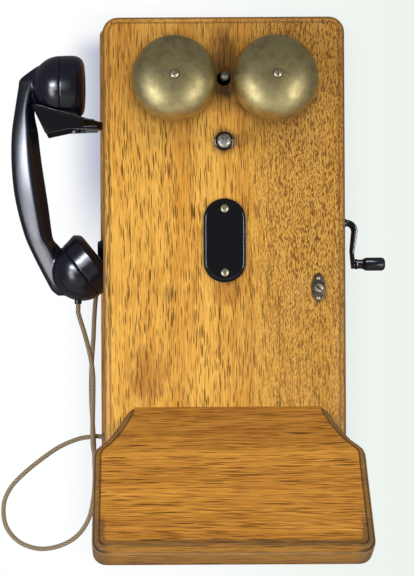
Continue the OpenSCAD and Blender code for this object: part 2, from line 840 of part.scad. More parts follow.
module button_bezel() color(black_iron)
  to_front(0, door_front, button_z)
    difference() {
      union() {
        rotate_extrude()
          polygon([[0, 0], [ring_d / 2, 0], [ring_d / 2, 0.8], [ring_d / 2 - 0.8, 1.6], [0, 1.6]]);
        translate([0, 0, -sleeve_l])
          cylinder(r = sleeve_r, h = sleeve_l);
      }
      translate([0, 0, -sleeve_l + 2])
        cylinder(r = button_r + fit, h = sleeve_l);
      translate([0, 0, -sleeve_l - 1])
        cylinder(r = stem_r + fit, h = 4);
    }

module push_button() color(steel)
  to_front(0, door_front, button_z) {
    head_l = sleeve_l - 2 - button_travel - air;
    translate([0, 0, -head_l])
      rotate_extrude()
        polygon([[0, 0], [button_r, 0], [button_r, head_l + 3.4], [button_r * 0.93, head_l + 4.3],
                 [button_r * 0.7, head_l + 5.2], [button_r * 0.36, head_l + 5.7], [0, head_l + 5.9]]);
    translate([0, 0, -door_t - 2.5])
      cylinder(r = stem_r, h = door_t + 2.5 - head_l);
  }

module button_contacts() color(bright_brass) {
  reach = door_back + 2.5 + button_travel + air;
  block([-5, door_back, button_z - 26], [5, reach, button_z - 14]);
  block([-4, reach, button_z - 26], [4, reach + 0.8, button_z + 4]);
}

module stadium(w, h) {
  for (s = [-1, 1])
    translate([0, s * (h - w) / 2])
      circle(d = w, $fn = 64);
  square([w, h - w], center = true);
}

module blanking_plate() color(black_iron)
  to_front(0, door_front, plate_z)
    difference() {
      union() {
        linear_extrude(plate_t)
          stadium(plate_w, plate_h);
        linear_extrude(plate_t + 1.2)
          stadium(plate_w - 7, plate_h - 7);
      }
      for (z = [-plate_screw_dz / 2, plate_screw_dz / 2])
        translate([0, z, -1])
          cylinder(r = screw_r + fit, h = 10);
    }

module plate_screws() color(bright_brass)
  for (z = [-1, 1])
    to_front(0, door_front - plate_t - 1.2, plate_z + z * plate_screw_dz / 2)
      oval_screw(3.9, 1.8, screw_r, 14, z > 0 ? 20 : 75);

// ---- Writing shelf ----

module writing_shelf() color(dark_oak)
  difference() {
    translate([shelf_x, door_front, shelf_z])
      rotate([90 - shelf_slope, 0, 0])
        translate([0, 0, -shelf_t])
          loft([for (m = moulding(shelf_t))
            [for (p = shelf_outline(m[0])) [p[0], p[1], m[1]]]]);
    block([-shelf_w, door_front, shelf_z - 100], [shelf_w, 0, shelf_z + 10]);
    shelf_screw_places()
      translate([0, 0, -12])
        cylinder(r = screw_r + fit, h = 14);
  }

// Seats of the bracket screws on the door, drawn upwards towards the front
module door_screw_places()
  for (x = [-bracket_x, bracket_x], t = bracket_screws_at, side = [-1, 1])
    to_front(shelf_x + x + side * bracket_screw_dx, door_front, shelf_back_z - t)
      children();

// Seats of the bracket screws under the shelf, drawn upwards away from the shelf
module shelf_screw_places()
  for (x = [-bracket_x, bracket_x], t = bracket_screws_at, side = [-1, 1])
    translate([shelf_x + x + side * bracket_screw_dx, door_front, shelf_back_z])
      rotate([90 - shelf_slope, 0, 0])
        translate([0, -t - 4, 0])
          rotate([180, 0, 0])
            children();

// Down the slope of the shelf and square to it, in the side view of a bracket
bracket_along = [sin(shelf_slope), -cos(shelf_slope)];
bracket_below = [-cos(shelf_slope), -sin(shelf_slope)] * bracket_t;

// The two feet in one bent outline, one against the door and one under the shelf
module bracket_feet() {
  bend = bracket_t * (1 + cos(shelf_slope)) / sin(shelf_slope);
  polygon([
    [0, -bracket_t * 1.9],
    [0, -bracket_leg],
    [bracket_t, -bracket_leg],
    bracket_below + bracket_along * bend,
    bracket_below + bracket_along * bracket_run,
    bracket_along * bracket_run,
    bracket_along * bracket_t * 2
  ]);
}

// The rib between the feet, with an arch cut out of its lower edge
module bracket_web() {
  leg_end = [bracket_t / 2, bracket_web_gap - bracket_leg];
  run_end = bracket_along * (bracket_run - bracket_web_gap) + bracket_below / 2;
  difference() {
    polygon([[bracket_t / 2, -bracket_t * 2.4], leg_end, run_end]);
    translate((leg_end + run_end) / 2 - [0, bracket_arch_r * 0.8])
      circle(r = bracket_arch_r);
  }
}

module shelf_brackets() color(black_iron)
  difference() {
    for (x = [-bracket_x, bracket_x])
      translate([shelf_x + x, door_front, shelf_back_z])
        rotate([90, 0, -90]) {
          linear_extrude(bracket_w, center = true)
            bracket_feet();
          linear_extrude(bracket_web_t, center = true)
            bracket_web();
        }
    door_screw_places()
      translate([0, 0, -1])
        cylinder(r = screw_r + fit, h = bracket_t + 2);
    shelf_screw_places()
      translate([0, 0, -1])
        cylinder(r = screw_r + fit, h = bracket_t + 2);
  }

module bracket_screws() color(steel) {
  door_screw_places()
    translate([0, 0, bracket_t])
      oval_screw(3, 1.6, screw_r, 12, 30);
  shelf_screw_places()
    translate([0, 0, bracket_t])
      oval_screw(3, 1.6, screw_r, 12, 50);
}

// ---- Generator ----

module generator_frame() color(black_iron)
  difference() {
    union() {
      block([gen_left, mid_y - arch_r, gen_floor], [gen_right, mid_y + arch_r, gen_floor + base_t]);
      for (x = [gen_left - end_plate_t, gen_right])
        to_right(x, mid_y, crank_z)
          linear_extrude(end_plate_t)
            generator_plate();
    }
    to_right(gen_left - 10, mid_y, crank_z)
      cylinder(r = shaft_r + fit, h = gen_right - gen_left + 20);
    to_right(gen_left - 10, mid_y, armature_z)
      cylinder(r = gear_shaft_r + fit, h = gen_right - gen_left + 20);
  }

// Outline of an end plate about the crank shaft, with X down and Y to the rear
module generator_plate() {
  circle(r = 12);
  translate([0, -12])
    square([gear_centres, 24]);
  translate([gear_centres - 8, -arch_r])
    square([crank_z - gen_floor - gear_centres + 8, 2 * arch_r]);
}

module generator_pole_pieces() color(black_iron)
  difference() {
    block([gen_left, mid_y - pole_w, armature_z - pole_h], [gen_right, mid_y + pole_w, armature_z + pole_h]);
    to_right(gen_left - 1, mid_y, armature_z)
      cylinder(r = armature_r + 0.5, h = gen_right - gen_left + 2);
    block([gen_left - 1, mid_y - 7, armature_z - pole_h - 1], [gen_right + 1, mid_y + 7, armature_z + pole_h + 1]);
  }

module generator_magnets() color(black_iron) {
  pitch = (gen_right - gen_left) / magnet_count;
  for (k = [0:magnet_count - 1])
    translate([gen_left + (k + 0.5) * pitch, mid_y, arch_z])
      rotate([90, 0, 90])
        translate([0, 0, -(pitch - 1) / 2])
          linear_extrude(pitch - 1)
            difference() {
              union() {
                circle(r = arch_r);
                translate([-arch_r, -arch_z + gen_floor + base_t])
                  square([2 * arch_r, arch_z - gen_floor - base_t]);
              }
              circle(r = pole_w);
              translate([-pole_w, -arch_r * 4])
                square([2 * pole_w, arch_r * 4]);
            }
}

module generator_armature() color(steel) {
  difference() {
    to_right(gen_left + 2, mid_y, armature_z)
      cylinder(r = armature_r, h = gen_right - gen_left - 4);
    for (s = [-1, 1])
      block([gen_left + 8, mid_y - 5, armature_z + (s > 0 ? 6 : -armature_r - 1)],
            [gen_right - 8, mid_y + 5, armature_z + (s > 0 ? armature_r + 1 : -6)]);
  }
  to_right(gen_left - end_plate_t - 2, mid_y, armature_z)
    cylinder(r = gear_shaft_r, h = gear_x + gear_w - gen_left + end_plate_t + 4);
  to_right(gear_x, mid_y, armature_z)
    linear_extrude(gear_w)
      polygon(gear_outline(pinion_teeth, 180 / pinion_teeth + 180));
}

module drive_gear() color(bright_brass)
  to_right(gear_x, mid_y, crank_z)
    difference() {
      union() {
        linear_extrude(gear_w)
          difference() {
            polygon(gear_outline(gear_teeth, 0));
            for (a = [0:60:300])
              rotate([0, 0, a + 30])
                translate([gear_teeth * gear_module * 0.29, 0])
                  circle(r = 7.5);
          }
        translate([0, 0, gear_w])
          cylinder(r = 8, h = 5);
      }
      translate([0, 0, -1])
        cylinder(r = shaft_r + 0.02, h = gear_w + 10);
    }

module crank_bushing() color(bright_brass)
  to_right(inner_x, mid_y, crank_z)
    difference() {
      union() {
        cylinder(r = shaft_r + 3, h = wall_t);
        translate([0, 0, wall_t])
          cylinder(r = shaft_r + 6, h = 2);
      }
      translate([0, 0, -1])
        cylinder(r = shaft_r + fit, h = wall_t + 5);
    }

module crank_arm() color(bakelite) {
  bend_r = 8;
  elbow_z = crank_z - bend_r;
  eye_z = crank_z - crank_throw;
  neck_z = eye_z + 11;
  drop = elbow_z - neck_z;
  to_right(gen_left - end_plate_t - 3, mid_y, crank_z)
    cylinder(r = shaft_r, h = crank_x - bend_r - gen_left + end_plate_t + 3);
  translate([crank_x - bend_r, mid_y, elbow_z])
    rotate([90, 0, 0])
      rotate_extrude(angle = 90)
        translate([bend_r, 0])
          circle(r = rod_r);
  translate([crank_x, mid_y, elbow_z])
    rotate([0, 180 + atan(arm_lean / drop), 0])
      translate([0, 0, -1])
        cylinder(r1 = rod_r - 0.1, r2 = arm_end_r, h = norm([arm_lean, drop]) + 1);
  hull() {
    translate([crank_x - arm_lean, mid_y, neck_z])
      cylinder(r = arm_end_r - 0.3, h = 1, $fn = 32);
    to_right(crank_x - eye_t, mid_y, eye_z)
      cylinder(r = eye_r, h = eye_t, $fn = 32);
  }
  to_right(crank_x - eye_t, mid_y, eye_z)
    cylinder(r = grip_pin_r, h = eye_t + grip_pin_l);
}

module crank_grip() color(bakelite) {
  to_right(grip_x, mid_y, crank_z - crank_throw)
    difference() {
      rotate_extrude()
        polygon([[0, 0], [4.7, 0], [5, 1], [5, 1.8], [4.4, 2.6], [4.4, 6.5], [5, 8], [grip_r - 0.2, 10],
                 [grip_r, 11.5], [grip_r, grip_l - 3], [grip_r - 0.7, grip_l - 1.2],
                 [grip_r - 2.2, grip_l - 0.2], [0, grip_l]]);
      translate([0, 0, -1])
        cylinder(r = grip_pin_r + fit, h = grip_pin_l + 1);
    }
}

module generator_stay() color(steel)
  difference() {
    union() {
      block([-inner_x, mid_y - 5, crank_z - 8], [-inner_x + 3, mid_y + 5, crank_z + 20]);
      block([-inner_x, mid_y - 5, crank_z + 17], [gen_left - end_plate_t - 3, mid_y + 5, crank_z + 20]);
      block([gen_left - end_plate_t - 3, mid_y - 5, crank_z + 5], [gen_left - end_plate_t, mid_y + 5, crank_z + 20]);
    }
    to_left(-inner_x + 4, mid_y, crank_z)
      cylinder(r = screw_r + fit, h = 5);
  }

module side_screw() color(steel)
  to_left(-side_x, mid_y, crank_z)
    oval_screw(3.4, 2.2, screw_r, wall_t + 3, 40);

// ---- Hook and hook switch ----

// Side view of the hook, from its tail to the tips of its prongs, drawn on X and Z
module hook_side_view() {
  stem_top = hook_z + hook_stem_h / 2;
  stem_low = hook_z - hook_stem_h / 2;
  seat = [for (dx = [0:3:12])
    [ear_x - dx, ear_z - sqrt(ear_r * ear_r - prong_gap * prong_gap - dx * dx) - air]];
  difference() {
    polygon(concat(
      [[hook_tail_x, stem_top + hook_nose_h], [hook_tail_x - 5, stem_top + hook_nose_h],
       [hook_tail_x - 5, stem_top], [-side_x - 13, stem_top], [ear_x + 18, stem_top + 4]],
      seat,
      [[ear_x - 26, ear_z - 18.5], [ear_x - 25.5, ear_z - 21], [ear_x - 14, ear_z - 45],
       [ear_x - 11.5, ear_z - 45.5], [ear_x + 7, stem_low - 1], [-side_x - 17, stem_low],
       [hook_tail_x, stem_low]]));
    translate([hook_pivot_x, hook_z])
      circle(r = hook_pin_r + fit);
  }
}

// Plan view of the hook: a stem that spreads into two prongs, drawn on X and Y
module hook_plan_view() {
  outside = prong_gap + prong_t;
  difference() {
    union() {
      translate([-side_x - 18, -hook_stem_w / 2])
        square([hook_tail_x + side_x + 18, hook_stem_w]);
      polygon([[-side_x - 14, -hook_stem_w / 2], [-side_x - 14, hook_stem_w / 2],
               [-side_x - 31, outside], [ear_x - 28, outside],
               [ear_x - 28, -outside], [-side_x - 31, -outside]]);
    }
    translate([ear_x + 6, 0])
      circle(r = prong_gap);
    translate([ear_x - 40, -prong_gap])
      square([46, 2 * prong_gap]);
  }
}

module hook_lever() color(black_iron)
  translate([0, mid_y, 0])
    intersection() {
      rotate([90, 0, 0])
        translate([0, 0, -40])
          linear_extrude(80)
            hook_side_view();
      translate([0, 0, hook_z - 20])
        linear_extrude(60)
          hook_plan_view();
    }

bracket_ear_y = hook_stem_w / 2 + 0.5;

module hook_switch_bracket() color(steel)
  difference() {
    union() {
      block([-inner_x, mid_y - 15, hook_z - 18], [-inner_x + 2, mid_y + 15, hook_z + 26]);
      for (s = [-1, 1])
        block([-inner_x, mid_y + (s > 0 ? bracket_ear_y : -bracket_ear_y - 2), hook_z - 8],
              [hook_pivot_x + 7, mid_y + (s > 0 ? bracket_ear_y + 2 : -bracket_ear_y), hook_z + 8]);
    }
    hook_slot();
    to_front(hook_pivot_x, mid_y + 20, hook_z)
      cylinder(r = hook_pin_r + 0.02, h = 40);
  }

module hook_pivot_pin() color(steel)
  to_front(hook_pivot_x, mid_y + bracket_ear_y + 3, hook_z)
    cylinder(r = hook_pin_r, h = 2 * bracket_ear_y + 6);

// Three leaf springs clamped between insulating blocks, over the nose of the hook's tail
module hook_switch_springs() color(bright_brass)
  for (k = [0:2]) {
    z = hook_z + hook_stem_h / 2 + hook_nose_h + air + 4 * k;
    block([-inner_x + 2, mid_y - 4, z], [hook_tail_x + 2 * k, mid_y + 4, z + 0.8]);
    block([-inner_x + 2, mid_y - 4, z + 0.8], [-inner_x + 12, mid_y + 4, z + 4]);
  }

// ---- Other fittings inside the case ----

module induction_coil() color(silk_wire)
  to_right(spool_x, back_face - spool_cheek / 2, hook_z) {
    for (x = [0, spool_l + spool_cheek_t])
      translate([-spool_cheek / 2, -spool_cheek / 2, x])
        cube([spool_cheek, spool_cheek, spool_cheek_t]);
    translate([0, 0, spool_cheek_t])
      cylinder(r = spool_r, h = spool_l);
  }

module condenser() color(steel)
  block([condenser_x, back_face - condenser_d, ceiling_z - air - condenser_h],
        [condenser_x + condenser_w, back_face, ceiling_z - air]);

module terminal_strip() color(bakelite)
  difference() {
    block([-post_pitch * post_count / 2, back_face - strip_t, post_z - strip_h / 2],
          [post_pitch * post_count / 2, back_face, post_z + strip_h / 2]);
    binding_post_places()
      translate([0, 0, 2 - strip_t])
        cylinder(r = post_r + fit, h = strip_t);
  }

module binding_post_places()
  for (k = [0:post_count - 1])
    to_front((k - (post_count - 1) / 2) * post_pitch, back_face - strip_t, post_z)
      children();

// A stud through the strip, its lock nut and its knurled thumb nut
module binding_posts() color(bright_brass)
  binding_post_places() {
    translate([0, 0, 2 - strip_t])
      cylinder(r = post_r, h = strip_t);
    cylinder(r = post_nut_r - 0.6, h = 3);
    translate([0, 0, 2])
      cylinder(r = post_r, h = 4);
    translate([0, 0, 5])
      cylinder(r = post_nut_r, h = 6);
  }

module dry_cells() color(cloth)
  for (x = [-cell_x, cell_x])
    translate([x, cell_y, floor_z]) {
      cylinder(r = cell_r, h = cell_h - 2);
      translate([0, 0, cell_h - 2])
        cylinder(r = cell_r - 2, h = 2);
      translate([0, 0, cell_h])
        cylinder(r = 6, h = 6);
      translate([0, -22, cell_h])
        cylinder(r = 3, h = 9);
    }

module cell_retainer() color(oak)
  block([-inner_x, cell_y - cell_r - 10, floor_z + cell_h * 0.55],
        [inner_x, cell_y - cell_r, floor_z + cell_h * 0.55 + 16]);

// ---- Handset ----

// Drawn upwards, children come out of the ear cup or the mouth cup
module at_ear() translate([ear_x, mid_y, ear_z]) rotate([0, 90, 0]) children();
module at_mouth() translate([mouth_x, mid_y, mouth_z]) rotate([0, mouth_tilt, 0]) children();

module bowl(r)
  rotate_extrude()
    polygon(concat([[0, 0]], [for (a = [0:7.5:82.5]) [r * cos(a), -bowl_d * sin(a)]],
                   [[0, -bowl_d]]));

module handset_handle() color(bakelite)
  difference() {
    union() {
      loft([for (s = handle_sections) handle_ring(s)]);
      at_ear() bowl(ear_r);
      at_mouth() bowl(mouth_r);
    }
    at_ear()
      translate([0, 0, -capsule_l])
        cylinder(r = capsule_r, h = capsule_l + 40);
    at_mouth()
      translate([0, 0, -capsule_l])
        cylinder(r = capsule_r, h = capsule_l + 40);
    collar_shape(fit);
  }

// A capsule: a can in the cup, with a flange that rests on the cup's rim
module capsule()
  rotate_extrude()
    polygon([[0, -capsule_l], [capsule_r - fit, -capsule_l], [capsule_r - fit, 0],
             [cap_inner_r - 0.4, 0], [cap_inner_r - 0.4, cap_room - 3], [20, cap_room - 1],
             [0, cap_room - air]]);

module receiver_capsule() color(steel)
  at_ear() capsule();

module transmitter_capsule() color(steel)
  at_mouth() capsule();

module cap_holes(rings)
  for (ring = rings, k = [0:ring[1] - 1])
    rotate([0, 0, 360 * k / ring[1]])
      translate([ring[0], 0, cap_room - 1])
        cylinder(r = 1.3, h = 14);

module ear_cap() color(bakelite)
  at_ear()
    difference() {
      rotate_extrude()
        polygon([[cap_inner_r, 0], [ear_r, 0], [ear_r + 0.2, 11], [ear_r - 0.3, 15],
                 [ear_r - 1.6, 18.2], [ear_r - 4, 20.8], [ear_r - 8, 22.3], [ear_r - 14, 22.8],
                 [13.5, 21], [9, 18.4], [0, 17.4], [0, cap_room], [cap_inner_r, cap_room]]);
      cap_holes([[0, 1], [6.5, 6]]);
    }

module mouth_cap() color(bakelite)
  at_mouth()
    difference() {
      rotate_extrude()
        polygon([[cap_inner_r, 0], [mouth_r, 0], [mouth_r + 1, 8], [mouth_r + 2.1, 14],
                 [mouth_r + 2.1, 15.5], [mouth_r - 1, 19.4], [mouth_r - 3, 20.8],
                 [mouth_r - 6, cap_face], [20, 20.6], [15, 18.2], [0, 17],
                 [0, cap_room], [cap_inner_r, cap_room]]);
      cap_holes([[0, 1], [5.5, 6], [11, 12]]);
    }

module collar_shape(grow)
  translate([last(cord_route)[0], mid_y, last(cord_route)[2]])
    cylinder(r = 3.4 + grow, h = 7.5 + grow);

module handset_cord_collar() color(bakelite)
  collar_shape(0);

module mouthpiece_rest() color(bakelite)
  difference() {
    to_left(-side_x, mid_y, rest_z)
      rotate_extrude()
        polygon([[0, 0], [17, 0], [17, 1.5], [15.5, 4], [11, 13], [8, 19], [0, 19]]);
    at_mouth()
      translate([0, 0, -40])
        cylinder(r = 70, h = 40 + cap_face + air);
  }

// ---- Cord ----

module cord_bushing() color(bakelite)
  to_left(-inner_x, cord_y, cord_z)
    difference() {
      union() {
        cylinder(r = cord_d / 2 + 2, h = wall_t);
        translate([0, 0, wall_t])
          cylinder(r = cord_d / 2 + 3.5, h = 3);
      }
      translate([0, 0, -cord_route[0][0] - inner_x])
        cylinder(r = cord_d / 2 + fit, h = wall_t + 4);
    }

module handset_cord() color(cloth) {
  route = smooth_route(cord_route);
  loft([for (i = [len(route) - 1:-1:0]) tube_ring(route, i, cord_d / 2, 8)]);
}

backboard();
case_left_side();
case_right_side();
case_top();
case_bottom();
generator_shelf();
hinge_leaves_case();
hinge_pins();
lock_strike();
crank_bushing();
generator_frame();
generator_pole_pieces();
generator_magnets();
generator_stay();
side_screw();
hook_switch_bracket();
hook_pivot_pin();
hook_switch_springs();
induction_coil();
condenser();
terminal_strip();
binding_posts();
dry_cells();
cell_retainer();
mouthpiece_rest();
cord_bushing();
handset_cord();
door_panel();
hinge_leaves_door();
gong_left();
gong_right();
gong_posts();
gong_screws();
ringer_frame();
ringer_coils();
ringer_magnet();
blanking_plate();
plate_screws();
button_bezel();
button_contacts();
lock_plate();
lock_plate_screws();
writing_shelf();
shelf_brackets();
bracket_screws();
ringer_armature();
clapper();
push_button();
lock_barrel();
hook_lever();
handset_handle();
ear_cap();
receiver_capsule();
mouth_cap();
transmitter_capsule();
handset_cord_collar();
crank_arm();
drive_gear();
crank_grip();
generator_armature();
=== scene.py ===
# Oak wall telephone: smooth meshes, finishes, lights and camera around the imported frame
import json
import math

import bmesh
import bpy
import numpy as np
from mathutils import Matrix, Vector

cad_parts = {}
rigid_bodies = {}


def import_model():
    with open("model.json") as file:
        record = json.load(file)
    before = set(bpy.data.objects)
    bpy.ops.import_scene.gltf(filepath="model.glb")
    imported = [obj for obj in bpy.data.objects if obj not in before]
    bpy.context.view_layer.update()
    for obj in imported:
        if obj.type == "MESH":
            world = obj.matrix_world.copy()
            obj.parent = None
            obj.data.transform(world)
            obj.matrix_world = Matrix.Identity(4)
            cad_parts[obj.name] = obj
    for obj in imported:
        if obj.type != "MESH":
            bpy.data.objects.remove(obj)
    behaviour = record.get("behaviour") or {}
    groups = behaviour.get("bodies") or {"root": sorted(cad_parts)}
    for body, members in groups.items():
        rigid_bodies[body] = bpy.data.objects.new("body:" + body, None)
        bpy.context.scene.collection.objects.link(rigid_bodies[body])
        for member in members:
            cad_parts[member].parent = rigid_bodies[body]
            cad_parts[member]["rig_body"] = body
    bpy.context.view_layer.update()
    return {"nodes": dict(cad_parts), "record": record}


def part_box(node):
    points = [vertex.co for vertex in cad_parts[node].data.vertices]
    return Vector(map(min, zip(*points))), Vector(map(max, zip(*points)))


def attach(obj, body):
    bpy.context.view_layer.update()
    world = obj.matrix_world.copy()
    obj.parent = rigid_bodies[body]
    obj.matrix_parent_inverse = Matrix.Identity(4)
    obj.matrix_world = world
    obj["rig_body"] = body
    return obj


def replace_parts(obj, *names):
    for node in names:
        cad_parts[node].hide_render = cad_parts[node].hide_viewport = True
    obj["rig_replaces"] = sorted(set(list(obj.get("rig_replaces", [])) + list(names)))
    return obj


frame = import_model()
cadNodes = frame["nodes"]
slotOfNode = {part["node"]: part["material_slot"] for part in frame["record"]["subparts"]}
scene = bpy.context.scene
scene.view_settings.view_transform = "Standard"
mm = 0.001
doorLow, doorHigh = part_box("door_panel")
doorFront = doorLow.y  # the front of everything faces -Y
print("frame:", len(cadNodes), "nodes")

# Camera

cameraSettings = {
    "lens": 80.5,
    "distance": 1.15,  # from the door's front
    "across": -0.0705,
    "up": -0.003,
    "shiftX": 0.1061,
    "shiftY": 0.0035,
    "roll": -0.3,
}


def makeCamera(s):
    data = bpy.data.cameras.new("camera")
    data.lens = s["lens"]
    data.sensor_width = 36
    data.shift_x = s["shiftX"]
    data.shift_y = s["shiftY"]
    data.clip_start = 0.05
    camera = bpy.data.objects.new("camera", data)
    scene.collection.objects.link(camera)
    level = Matrix.Rotation(math.radians(90), 4, "X")
    roll = Matrix.Rotation(math.radians(s["roll"]), 4, "Z")
    stand = Matrix.Translation((s["across"], doorFront - s["distance"], s["up"]))
    camera.matrix_world = stand @ level @ roll
    scene.camera = camera


makeCamera(cameraSettings)
print("camera: lens", cameraSettings["lens"])

# Shader building


def addNode(tree, kind, inputs=None, **settings):
    node = tree.nodes.new(kind)
    for key, value in settings.items():
        setattr(node, key, value)
    for key, value in (inputs or {}).items():
        socket = node.inputs[key]
        if isinstance(value, bpy.types.NodeSocket):
            tree.links.new(value, socket)
        else:
            socket.default_value = value
    return node


# These build beside the socket that they are given first
def calc(operation, a, b=0.0, clamp=False):
    node = addNode(a.id_data, "ShaderNodeMath", {0: a, 1: b}, operation=operation, use_clamp=clamp)
    return node.outputs[0]


def times(result, *others):
    for other in others:
        result = calc("MULTIPLY", result, other)
    return result


def plus(a, b):
    return calc("ADD", a, b)


def minus(a, b):
    return calc("SUBTRACT", a, b)


def ramp(value, low, high, atLow=0.0, atHigh=1.0):
    inputs = {"Value": value, "From Min": low, "From Max": high, "To Min": atLow, "To Max": atHigh}
    node = addNode(value.id_data, "ShaderNodeMapRange", inputs, interpolation_type="SMOOTHSTEP")
    return node.outputs["Result"]


# One inside a stretch of values, with soft ends
def band(value, first, second):
    return times(ramp(value, *first), ramp(value, *second))


def mixColour(amount, a, b):
    inputs = {0: amount, 6: a, 7: b}
    return addNode(amount.id_data, "ShaderNodeMix", inputs, data_type="RGBA").outputs[2]


# Lays tones over a colour, each through the product of its masks
def layered(colour, layers):
    for shade, *masks in layers:
        colour = mixColour(times(*masks), colour, shade)
    return colour


def vectorMath(operation, a, b=(0, 0, 0)):
    node = addNode(a.id_data, "ShaderNodeVectorMath", {0: a, 1: b}, operation=operation)
    return node.outputs["Value" if operation == "LENGTH" else "Vector"]


def partsOf(vector):
    return addNode(vector.id_data, "ShaderNodeSeparateXYZ", {0: vector}).outputs


def mapped(vector, scale=(1, 1, 1), turn=(0, 0, 0), shift=(0, 0, 0)):
    inputs = {"Vector": vector, "Scale": scale, "Rotation": turn, "Location": shift}
    return addNode(vector.id_data, "ShaderNodeMapping", inputs).outputs[0]


def noiseOn(vector, stretch, detail=2.0, roughness=0.5, turn=(0, 0, 0)):
    placed = mapped(vector, stretch, turn)
    inputs = {"Vector": placed, "Scale": 1.0, "Detail": detail, "Roughness": roughness}
    return addNode(vector.id_data, "ShaderNodeTexNoise", inputs).outputs["Fac"]


def vectorOf(tree, x=0.0, y=0.0, z=0.0):
    return addNode(tree, "ShaderNodeCombineXYZ", {"X": x, "Y": y, "Z": z}).outputs[0]


def newGroup(name, inputs, outputs):
    tree = bpy.data.node_groups.new(name, "ShaderNodeTree")
    kinds = {float: "NodeSocketFloat", tuple: "NodeSocketVector", list: "NodeSocketColor"}
    for label, value in inputs.items():
        socket = tree.interface.new_socket(label, in_out="INPUT", socket_type=kinds[type(value)])
        socket.default_value = value
    for label, kind in outputs.items():
        tree.interface.new_socket(label, in_out="OUTPUT", socket_type=kinds[kind])
    start = tree.nodes.new("NodeGroupInput").outputs
    end = tree.nodes.new("NodeGroupOutput").inputs
    return tree, start, end


def useGroup(group, vector, inputs):
    inputs = {"Vector": vector, **inputs}
    return addNode(vector.id_data, "ShaderNodeGroup", inputs, node_tree=group).outputs


grain = {  # stretches are per metre with the grain along Z, and leans are in radians
    "wander": (9, 9, 5),
    "wanderBy": 0.012,
    "bands": (60, 60, 2.2),
    "bandShare": 0.35,
    "streaks": (1000, 1000, 32),
    "deepToPale": (0.34, 0.64),
    "rings": (230, 230, 6),
    "crowding": 0.5,
    "pores": (800, 800, 44),
    "poreLean": (0, 0.03, 0),
    "largePores": (0.32, 0.22),
    "poreDark": 0.92,
    "ticks": (1300, 1300, 90),
    "smallPores": (0.6, 0.7, 0.0, 0.4),
    "rays": (1200, 1200, 300),
    "rayLean": (0, 0.32, 0),
    "darkRays": (0.49, 0.4),
    "rayDark": 0.85,
    "brightRays": (0.52, 0.62),
    "rayBright": 0.7,
    "roughness": 0.3,
    "poreRoughness": 0.25,
    "streakRoughness": 0.2,
    "streakHeight": 0.25,
}


def makeOakGrain(s):
    tree, start, end = newGroup(
        "oakGrain",
        {
            "Vector": (0.0, 0.0, 0.0),  # metres
            "Pale": [0.8, 0.45, 0.12, 1],
            "Deep": [0.45, 0.2, 0.04, 1],
            "Pore": [0.12, 0.05, 0.015, 1],
            "Pores": 1.0,
            "Fleck": 0.0,
        },
        {"Color": list, "Roughness": float, "Height": float},
    )
    wander = noiseOn(start["Vector"], s["wander"], detail=1)
    aside = times(minus(wander, 0.5), s["wanderBy"])
    vector = vectorMath("ADD", start["Vector"], vectorOf(tree, aside, aside))
    bands = times(noiseOn(vector, s["bands"]), s["bandShare"])
    streaks = noiseOn(vector, s["streaks"], roughness=0.6)
    depth = plus(bands, times(streaks, 1 - s["bandShare"]))
    body = mixColour(ramp(depth, *s["deepToPale"]), start["Deep"], start["Pale"])
    # Open pores crowd together along the rings
    crowd = times(minus(noiseOn(vector, s["rings"]), 0.5), s["crowding"])
    cells = mapped(mapped(vector, turn=s["poreLean"]), s["pores"])
    vessels = addNode(tree, "ShaderNodeTexVoronoi", {"Vector": cells, "Scale": 1.0}).outputs["Distance"]
    large = ramp(minus(vessels, crowd), *s["largePores"])
    ticks = plus(noiseOn(vector, s["ticks"], detail=0.0), crowd)
    both = calc("MAXIMUM", large, ramp(ticks, *s["smallPores"]))
    pores = calc("MULTIPLY", both, start["Pores"], clamp=True)
    # Rays cross the grain where the board is quarter sawn
    rays = noiseOn(vector, s["rays"], detail=1, turn=s["rayLean"])
    darker = calc("MULTIPLY", ramp(rays, *s["darkRays"]), start["Fleck"], clamp=True)
    brighter = calc("MULTIPLY", ramp(rays, *s["brightRays"]), start["Fleck"], clamp=True)
    layers = [
        (start["Pore"], pores, s["poreDark"]),
        (start["Pore"], darker, s["rayDark"]),
        (start["Pale"], brighter, s["rayBright"]),
    ]
    rough = plus(times(pores, s["poreRoughness"]), times(streaks, s["streakRoughness"]))
    tree.links.new(layered(body, layers), end["Color"])
    tree.links.new(plus(rough, s["roughness"]), end["Roughness"])
    tree.links.new(minus(times(streaks, s["streakHeight"]), pores), end["Height"])
    return tree


spotEdge = {"ragged": (210, 210, 90), "raggedBy": 3.0}  # per metre, and in softnesses


# A soft ragged spot, for stains and for painted shadows and shade
def makeStainAndShadeSpot(s):
    tree, start, end = newGroup(
        "stain",
        {
            "Vector": (0.0, 0.0, 0.0),
            "Centre": (0.0, 0.0, 0.0),
            "Shape": (1.0, 0.0, 1.0),
            "Radius": 0.01,
            "Softness": 0.004,
        },
        {"Mask": float},
    )
    away = vectorMath("SUBTRACT", start["Vector"], start["Centre"])
    length = vectorMath("LENGTH", vectorMath("MULTIPLY", away, start["Shape"]))
    ragged = minus(noiseOn(start["Vector"], s["ragged"], detail=3), 0.5)
    distance = plus(length, times(ragged, start["Softness"], s["raggedBy"]))
    inner = minus(start["Radius"], start["Softness"])
    outer = plus(start["Radius"], start["Softness"])
    tree.links.new(ramp(distance, outer, inner), end["Mask"])
    return tree


